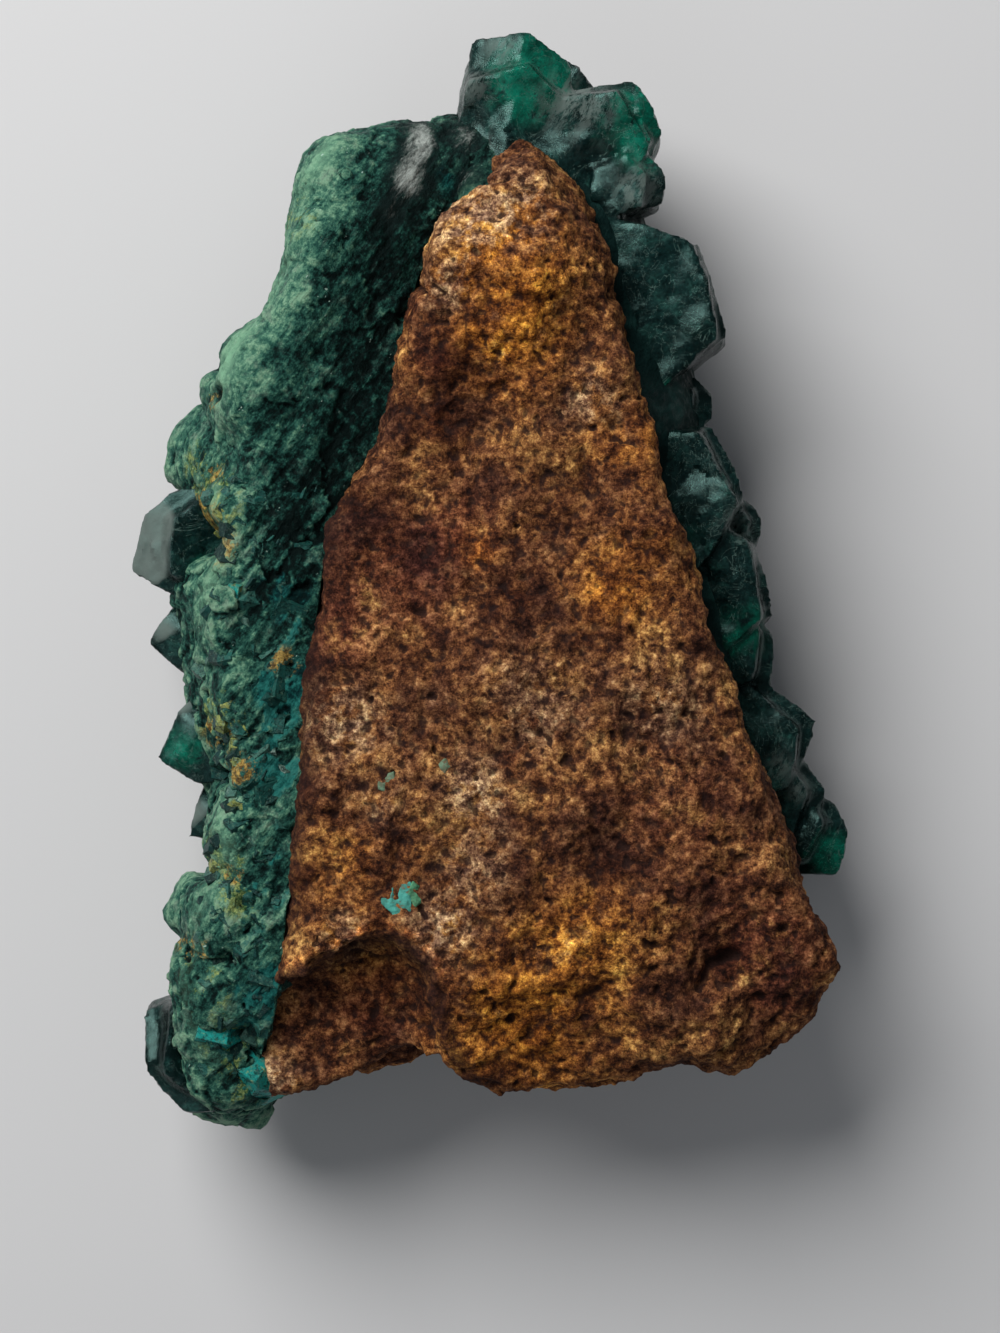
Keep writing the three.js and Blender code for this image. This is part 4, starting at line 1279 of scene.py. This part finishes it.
class Nodes:
    """Builds a material's nodes in short calls."""

    def __init__(self, name):
        self.material = bpy.data.materials.new(name)
        self.material.use_nodes = True
        self.tree = self.material.node_tree
        self.shader = self.tree.nodes["Principled BSDF"]
        self.output = self.tree.nodes["Material Output"]
        self.place = self.add("ShaderNodeTexCoord").outputs["Object"]

    def add(self, kind, **settings):
        node = self.tree.nodes.new(kind)
        for key, value in settings.items():
            setattr(node, key, value)
        return node

    def put(self, socket, value):
        """Links a socket to an output, or sets its own value."""
        if isinstance(value, bpy.types.NodeSocket):
            self.tree.links.new(value, socket)
        else:
            socket.default_value = value

    def attribute(self, name):
        return self.add("ShaderNodeAttribute", attribute_name=name).outputs["Fac"]

    def drawn_out(self, heading, times):
        """Places in which what a texture shows is drawn out along a heading seen from above."""
        turned = self.add("ShaderNodeMapping", vector_type="TEXTURE")
        turned.inputs["Rotation"].default_value = (0, 0, math.radians(heading))
        turned.inputs["Scale"].default_value = (times, 1, 1)
        self.put(turned.inputs["Vector"], self.place)
        return turned.outputs[0]

    def noise(self, size, detail=4, roughness=0.55, distortion=0, place=None):
        """Noise over features of the given size in millimetres."""
        node = self.add("ShaderNodeTexNoise")
        self.put(node.inputs["Vector"], place or self.place)
        node.inputs["Scale"].default_value = 1 / (size * MM)
        node.inputs["Detail"].default_value = detail
        node.inputs["Roughness"].default_value = roughness
        node.inputs["Distortion"].default_value = distortion
        return node.outputs["Fac"]

    def math(self, operation, a, b=0.0):
        node = self.add("ShaderNodeMath", operation=operation)
        self.put(node.inputs[0], a)
        self.put(node.inputs[1], b)
        return node.outputs[0]

    def product(self, a, b):
        return self.math("MULTIPLY", a, b)

    def total(self, first, *terms):
        """The sum of some values, where a pair is a value and its weight."""
        for term in terms:
            value = self.product(*term) if isinstance(term, tuple) else term
            first = self.math("ADD", first, value)
        return first

    def ranged(self, value, low, high, to_low=0.0, to_high=1.0):
        node = self.add("ShaderNodeMapRange", interpolation_type="SMOOTHSTEP")
        for socket, number in zip(node.inputs, (value, low, high, to_low, to_high)):
            self.put(socket, number)
        return node.outputs[0]

    def patchy(self, value, *texture, low, high):
        """A value where noise is above the low level, all of it from the high level on."""
        return self.product(value, self.ranged(self.noise(*texture), low, high))

    def ramp(self, value, *stops):
        node = self.add("ShaderNodeValToRGB")
        self.put(node.inputs[0], value)
        elements = node.color_ramp.elements
        while len(elements) < len(stops):
            elements.new(0.5)
        for element, (place, colour) in zip(elements, stops):
            element.position = place
            element.color = (*colour, 1)
        return node.outputs["Color"]

    def mix(self, factor, a, b, blend="MIX"):
        node = self.add("ShaderNodeMix", data_type="RGBA", blend_type=blend)
        self.put(node.inputs["Factor"], factor)
        for socket, colour in ((node.inputs[6], a), (node.inputs[7], b)):
            self.put(socket, (*colour, 1) if isinstance(colour, tuple) else colour)
        return node.outputs[2]

    def bump(self, *layers):
        """Relief in the shading, from pairs of height and depth in millimetres."""
        normal = None
        for height, depth in layers:
            node = self.add("ShaderNodeBump")
            node.inputs["Distance"].default_value = depth * MM
            self.put(node.inputs["Height"], height)
            if normal is not None:
                self.put(node.inputs["Normal"], normal)
            normal = node.outputs["Normal"]
        self.put(self.shader.inputs["Normal"], normal)

    def shade(self, **values):
        for name, value in values.items():
            self.put(self.shader.inputs[name.replace("_", " ")], value)


def matrix_material():
    """Matt sandstone: brown ground, stains, blotches, speckles, painted shade in its hollows and under
    the step's lip, and painted shadow along the crust.
    """
    n = Nodes("matrix_rock")
    colour = n.ramp(
        n.noise(5, 6, 0.62),
        (0.36, (0.085, 0.032, 0.018)), (0.46, (0.15, 0.058, 0.025)), (0.55, (0.22, 0.09, 0.032)),
        (0.66, (0.33, 0.16, 0.055)),
    )
    for stain, tint in MATRIX_TINTS.items():
        amount = n.patchy(n.attribute(stain), 2.2, 5, 0.7, low=0.32, high=0.5)
        colour = n.mix(amount, colour, tint, "MULTIPLY")
    pale = n.patchy(n.attribute("pale"), 1.3, 5, 0.7, low=0.4, high=0.56)
    colour = n.mix(pale, colour, (0.5, 0.31, 0.185))
    blotch = n.ramp(
        n.noise(1.5, 6, 0.8),
        (0.37, (0.16, 0.12, 0.15)), (0.46, (0.6, 0.52, 0.54)), (0.54, (1.25, 1.25, 1.15)),
        (0.66, (2.05, 2.4, 2.25)),
    )
    colour = n.mix(1.0, colour, blotch, "MULTIPLY")
    speckle = n.ramp(
        n.noise(0.5, 5, 0.85),
        (0.39, (0.14, 0.11, 0.12)), (0.46, (0.66, 0.6, 0.6)), (0.54, (1.3, 1.35, 1.3)),
        (0.64, (2.35, 2.85, 2.95)),
    )
    colour = n.mix(0.95, colour, speckle, "MULTIPLY")
    # Painted shade in the surface's hollows, small and broad.
    colour = n.mix(n.ranged(n.attribute("fine"), 0.0, -0.08, 0, 0.8), colour, (0.018, 0.008, 0.007))
    colour = n.mix(n.ranged(n.attribute("broad"), -0.1, -0.5, 0, 0.6), colour, (0.02, 0.009, 0.007))
    # Painted shadow from the crust along the matrix's edge, and painted shade below the step's lip.
    dark = n.math("MAXIMUM", n.attribute("rim"), n.attribute("under"))
    colour = n.mix(n.product(dark, 0.65), colour, (0.022, 0.009, 0.008))
    lip = n.patchy(n.attribute("lip"), 0.6, 5, 0.85, low=0.38, high=0.58)
    colour = n.mix(lip, colour, (2.6, 2.3, 2.0), "MULTIPLY")
    n.shade(Base_Color=colour, Roughness=0.92, Specular_IOR_Level=0.15)
    n.bump((n.noise(0.4, 4, 0.8), 0.25))
    return n.material


def rind_material():
    """Massive dioptase: granular green, with painted highlight where it stands out and along its crest
    and lobe, painted shade in its hollows and valley, painted glints, and grey, teal, lime and rust.
    """
    n = Nodes("massive_dioptase")
    along = n.drawn_out(FIBRE_HEADING, 4)
    tint = n.attribute("fine_tint")
    # The tone takes painted highlight and shade from the attributes weighted in RIND_TONE.
    tone = n.total(
        n.noise(0.55, 5, 0.82), (n.noise(2.6, 5, 0.7), 0.3), (n.noise(0.8, 5, 0.8, place=along), 0.8),
        *((n.attribute(name), weight) for name, weight in RIND_TONE.items()),
    )
    tone = n.ranged(tone, 0.62, 1.42)
    colour = n.ramp(
        tone,
        (0.12, (0.001, 0.004, 0.004)), (0.3, (0.004, 0.021, 0.018)), (0.48, (0.014, 0.068, 0.053)),
        (0.64, (0.038, 0.125, 0.09)), (0.8, (0.09, 0.22, 0.145)), (0.96, (0.21, 0.38, 0.25)),
    )
    grey = n.ranged(n.total(n.noise(1.1, 6, 0.8, 0.5), (tint, 0.1)), 0.52, 0.64)
    greys = n.ramp(
        tone, (0.2, (0.008, 0.014, 0.013)), (0.55, (0.035, 0.05, 0.044)), (0.9, (0.13, 0.18, 0.15)),
    )
    colour = n.mix(n.product(grey, 0.5), colour, greys)
    teal = n.total(n.attribute("teal"), (tint, 0.35), n.noise(1.2, 6, 0.8))
    teals = n.ramp(tone, (0.3, (0.001, 0.02, 0.022)), (0.8, (0.012, 0.15, 0.135)))
    colour = n.mix(n.ranged(teal, 0.85, 1.2, 0, 0.9), colour, teals)
    for name, size, share, dark, light in RIND_SPECKS:
        specks = n.ranged(n.total(n.noise(size, 6, 0.85), (tint, 0.12)), 0.46, 0.62)
        specks = n.ranged(n.product(n.attribute(name), specks), 0.12, 0.5, 0, share)
        colour = n.mix(specks, colour, n.ramp(n.noise(0.35, 4, 0.8), (0.42, dark), (0.64, light)))
    # Painted highlight: a thin mint line along the lit crest.
    line = n.ranged(n.noise(0.9, 5, 0.8), 0.3, 0.55, 0, 0.9)
    colour = n.mix(n.product(n.attribute("line"), line), colour, (0.21, 0.42, 0.27))
    frosted = n.attribute("frosted")
    colour = n.mix(n.ranged(frosted, 0.1, 0.5, 0, 0.8), colour, (0.006, 0.013, 0.013))
    feather = n.math("ADD", n.product(frosted, 0.7), n.noise(0.45, 6, 0.9, place=along))
    colour = n.mix(n.ranged(feather, 0.86, 1.3), colour, (0.44, 0.48, 0.45))
    # Painted glints: small bright flecks drawn out along the fibres.
    painted_glint = n.noise(0.3, 2, 0.6, place=n.drawn_out(FIBRE_HEADING, 1.8))
    painted_glint = n.patchy(n.ranged(painted_glint, 0.7, 0.74, 0, 0.8), 3, low=0.5, high=0.6)
    colour = n.mix(painted_glint, colour, (0.45, 0.62, 0.54))
    # Painted shade in the rind's hollows.
    hollow_shade = n.ranged(n.attribute("fine"), -0.04, -0.16, 0, 0.92)
    colour = n.mix(hollow_shade, colour, (0.002, 0.005, 0.005))
    glass = n.ramp(
        n.noise(2.6, 5, 0.65, 0.6),
        (0.36, (0.003, 0.012, 0.012)), (0.52, (0.006, 0.022, 0.021)), (0.7, (0.014, 0.05, 0.045)),
    )
    n.shade(
        Base_Color=n.mix(n.attribute("glassy"), colour, glass),
        Roughness=n.ranged(n.noise(0.5, 3), 0.35, 0.62, 0.4, 0.8),
        Specular_IOR_Level=0.1, Specular_Tint=(0.6, 0.9, 0.8, 1),
    )
    n.bump((n.noise(0.3, 4, 0.8), 0.22), (n.noise(0.5, 3, 0.7, place=along), 0.2))
    return n.material


def crystal_material():
    """Vitreous dioptase: deep green, half clear, with veils, flaws, frosted faces, whitened faces with
    a painted sheen on the side toward the light, a painted glow where light has gone through, and
    painted shade on steep sides.
    """
    n = Nodes("dioptase_crystal")
    tone = n.total(
        n.noise(2.4, 6, 0.75, 0.8), (n.attribute("broad"), 0.05), (n.attribute("fine"), 0.06),
    )
    colour = n.ramp(
        tone,
        (0.34, (0.002, 0.01, 0.01)), (0.46, (0.005, 0.022, 0.022)), (0.56, (0.01, 0.041, 0.038)),
        (0.72, (0.03, 0.12, 0.1)),
    )
    # Painted glow of light that has gone through the crystal, in emerald.
    emerald = n.patchy(n.attribute("emerald"), 1.6, 6, 0.75, 0.5, low=0.26, high=0.5)
    emeralds = n.ramp(tone, (0.36, (0.001, 0.09, 0.057)), (0.62, (0.003, 0.27, 0.17)))
    colour = n.mix(n.ranged(emerald, 0.12, 0.6, 0, 0.95), colour, emeralds)
    veil = n.ranged(n.noise(0.4, 6, 0.85, 0.6), 0.52, 0.66, 0, 0.38)
    colour = n.mix(veil, colour, n.mix(0.25, colour, (0.16, 0.28, 0.23)))
    grain = n.ramp(
        n.noise(0.28, 4, 0.85, 0.3), (0.38, (0.4, 0.4, 0.4)), (0.5, (1, 1, 1)), (0.64, (2, 1.8, 1.8)),
    )
    colour = n.mix(n.ranged(emerald, 0.1, 0.6, 0.85, 0.4), colour, grain, "MULTIPLY")
    flaws = n.ranged(n.noise(0.8, 6, 0.85, 0.4), 0.48, 0.36, 0, 0.9)
    flaws = n.product(flaws, n.ranged(emerald, 0.1, 0.7, 1, 0.35))
    # Dark flaws, and painted shade on the steep sides.
    flaws_and_shade = n.math("MAXIMUM", flaws, n.product(n.attribute("steep"), 0.6))
    colour = n.mix(flaws_and_shade, colour, CRYSTAL_DARK)
    dark = n.patchy(n.attribute("dark"), 1.4, 5, 0.8, low=0.3, high=0.6)
    colour = n.mix(n.ranged(dark, 0.1, 0.6, 0, 0.85), colour, CRYSTAL_DARK)
    scratch = n.math("ABSOLUTE", n.math("SUBTRACT", n.noise(2.6, 4, 0.7, 1.2), 0.5))
    colour = n.mix(n.ranged(scratch, 0.01, 0, 0, 0.5), colour, (0.2, 0.32, 0.28))
    streaks = n.noise(0.7, 6, 0.85, 0.3, place=n.drawn_out(FROST_HEADING, 3))
    streaks = n.product(n.attribute("frosted"), n.ranged(streaks, 0.42, 0.56))
    # Whitened faces, with a painted sheen where they face the light.
    bleached = n.ranged(n.attribute("bleached"), 0.3, 0.7)
    bleached = n.product(bleached, n.ranged(n.noise(2), 0.2, 0.6, 0.65, 1))
    frost = n.math("MAXIMUM", streaks, bleached)
    rough = n.ranged(n.noise(1.2, 4), 0.36, 0.66, 0.14, 0.28)
    n.shade(
        Base_Color=n.mix(n.product(frost, 0.9), colour, (0.22, 0.27, 0.25)),
        Roughness=n.total(rough, (frost, 0.35)), IOR=1.66, Transmission_Weight=0.5,
        Specular_IOR_Level=0.05, Specular_Tint=(0.35, 0.65, 0.6, 1),
    )
    absorption = n.add("ShaderNodeVolumeAbsorption")
    absorption.inputs["Color"].default_value = (0.0, 0.8, 0.62, 1)
    absorption.inputs["Density"].default_value = 900
    n.put(n.output.inputs["Volume"], absorption.outputs[0])
    n.bump((n.noise(0.6, 5, 0.75), 0.045))
    return n.material


def druse_material():
    """The small crystals, each of its own hue from black-green over white and yellow to turquoise; the
    pale grey ones are painted glints.
    """
    n = Nodes("druse_crystal")
    colour = n.ramp(
        n.math("ADD", n.attribute("hue"), n.ranged(n.noise(0.8, 5, 0.85), 0.3, 0.7, -0.06, 0.06)),
        (0, (0.001, 0.008, 0.008)), (0.4, (0.004, 0.035, 0.033)), (0.6, (0.014, 0.1, 0.082)),
        (0.75, (0.06, 0.14, 0.11)), (0.82, (0.3, 0.4, 0.36)), (0.87, (0.16, 0.2, 0.05)),
        (0.93, (0.34, 0.36, 0.1)), (0.97, (0.004, 0.26, 0.23)),
    )
    colour = n.mix(n.ranged(n.noise(0.5, 6, 0.85), 0.54, 0.4, 0, 0.85), colour, (0.004, 0.014, 0.012))
    colour = n.mix(n.ranged(n.noise(0.35, 5, 0.85), 0.54, 0.66, 0, 0.6), colour, (0.14, 0.26, 0.18))
    n.shade(
        Base_Color=colour, Roughness=n.ranged(n.noise(0.5, 3), 0.35, 0.65, 0.22, 0.5),
        Specular_IOR_Level=0.3, Specular_Tint=(0.6, 0.9, 0.85, 1),
    )
    n.bump((n.noise(0.3, 4, 0.8), 0.15))
    return n.material


def chip_material(look):
    """One of the grains' colours, with sand of the matrix on it."""
    light, dark = CHIP_COLOURS[look]
    n = Nodes(look + "_grain")
    colour = n.ramp(n.noise(0.6, 5, 0.7), (0.36, dark), (0.6, light))
    sandy = n.ranged(n.noise(0.5, 5, 0.75), 0.55, 0.62, 0, 0.8)
    n.shade(Base_Color=n.mix(sandy, colour, (0.13, 0.07, 0.03)), Roughness=0.7)
    n.bump((n.noise(0.3, 4, 0.7), 0.12))
    return n.material


# ------------------------------------------------------------------ the pieces


def crust_pieces():
    draw = random_from(SEEDS["crust"])
    edge = edge_crystals(draw)
    crystals = [*side_crystals(draw), *underside_crystals(draw)]
    rind = rind_mesh(draw, [crystal_mesh(*edge[place]) for place in COATED])
    crystals = [c for c in crystals if not reaches_out(c)] + foot_crystals(draw)
    band = vitreous_mesh(edge, random_from(SEEDS["caps"]))
    druse = druse_mesh(rind, random_from(SEEDS["druse"]))
    pieces = [
        ("massive_crust", rind, rind_material(), None),
        ("small_crystals", druse, druse_material(), 20),
        ("crystals", crystals_mesh(crystals, band), crystal_material(), 24),
    ]
    for name, mesh, material, sharp in pieces:
        make_piece(name, mesh, material, "dioptase_crust", sharp)


def grain_pieces():
    draw = random_from(SEEDS["grains"])
    for node, (look, slot, spread_by, aside_by) in CHIPS.items():
        grain = chip_mesh(node, spread_by, aside_by, draw)
        make_piece(node + "_grain", grain, chip_material(look), node, sharp=30)


noise.seed_set(SEEDS["facets"])
rock = matrix_mesh(random_from(SEEDS["crumbs"]))
make_piece("matrix_rock", rock, matrix_material(), "matrix")
crust_pieces()
grain_pieces()

# ------------------------------------------------------------------ the stage


def floor():
    bm = bmesh.new()
    bmesh.ops.create_grid(bm, x_segments=1, y_segments=1, size=FLOOR_HALF)
    mesh = mesh_from(bm, "floor")
    n = Nodes("pale_floor")
    n.shade(Base_Color=(0.62, 0.62, 0.63, 1), Roughness=0.9)
    mesh.materials.append(n.material)
    plane = bpy.data.objects.new("floor", mesh)
    bpy.context.scene.collection.objects.link(plane)


def area_light(name, place, size, power, colour):
    """A round lamp that faces the specimen."""
    light = bpy.data.lights.new(name, "AREA")
    light.shape = "DISK"
    light.size = size
    light.energy = power
    light.color = colour
    lamp = bpy.data.objects.new(name, light)
    lamp.location = place
    lamp.rotation_euler = (-Vector(place)).to_track_quat("-Z", "Y").to_euler()
    bpy.context.scene.collection.objects.link(lamp)


def camera():
    """Looks straight down, as the photograph does."""
    view = bpy.data.cameras.new("camera")
    view.sensor_fit = "VERTICAL"
    view.sensor_height = 36
    view.lens = CAMERA_LENS
    view.clip_start = 0.01
    view.clip_end = 10
    eye = bpy.data.objects.new("camera", view)
    eye.location = CAMERA_AT
    bpy.context.scene.collection.objects.link(eye)
    bpy.context.scene.camera = eye


def world():
    sky = bpy.data.worlds.new("studio")
    sky.use_nodes = True
    background = sky.node_tree.nodes["Background"]
    background.inputs["Color"].default_value = (0.9, 0.95, 1, 1)
    background.inputs["Strength"].default_value = 0.14
    bpy.context.scene.world = sky


floor()
area_light("key", (-0.18, 0.235, 0.3), 0.31, 2.2, (1, 0.99, 0.97))
area_light("fill", (-0.2, -0.45, 0.45), 0.5, 0.4, (0.94, 0.97, 1))
camera()
world()
bpy.context.scene.view_settings.view_transform = "Standard"
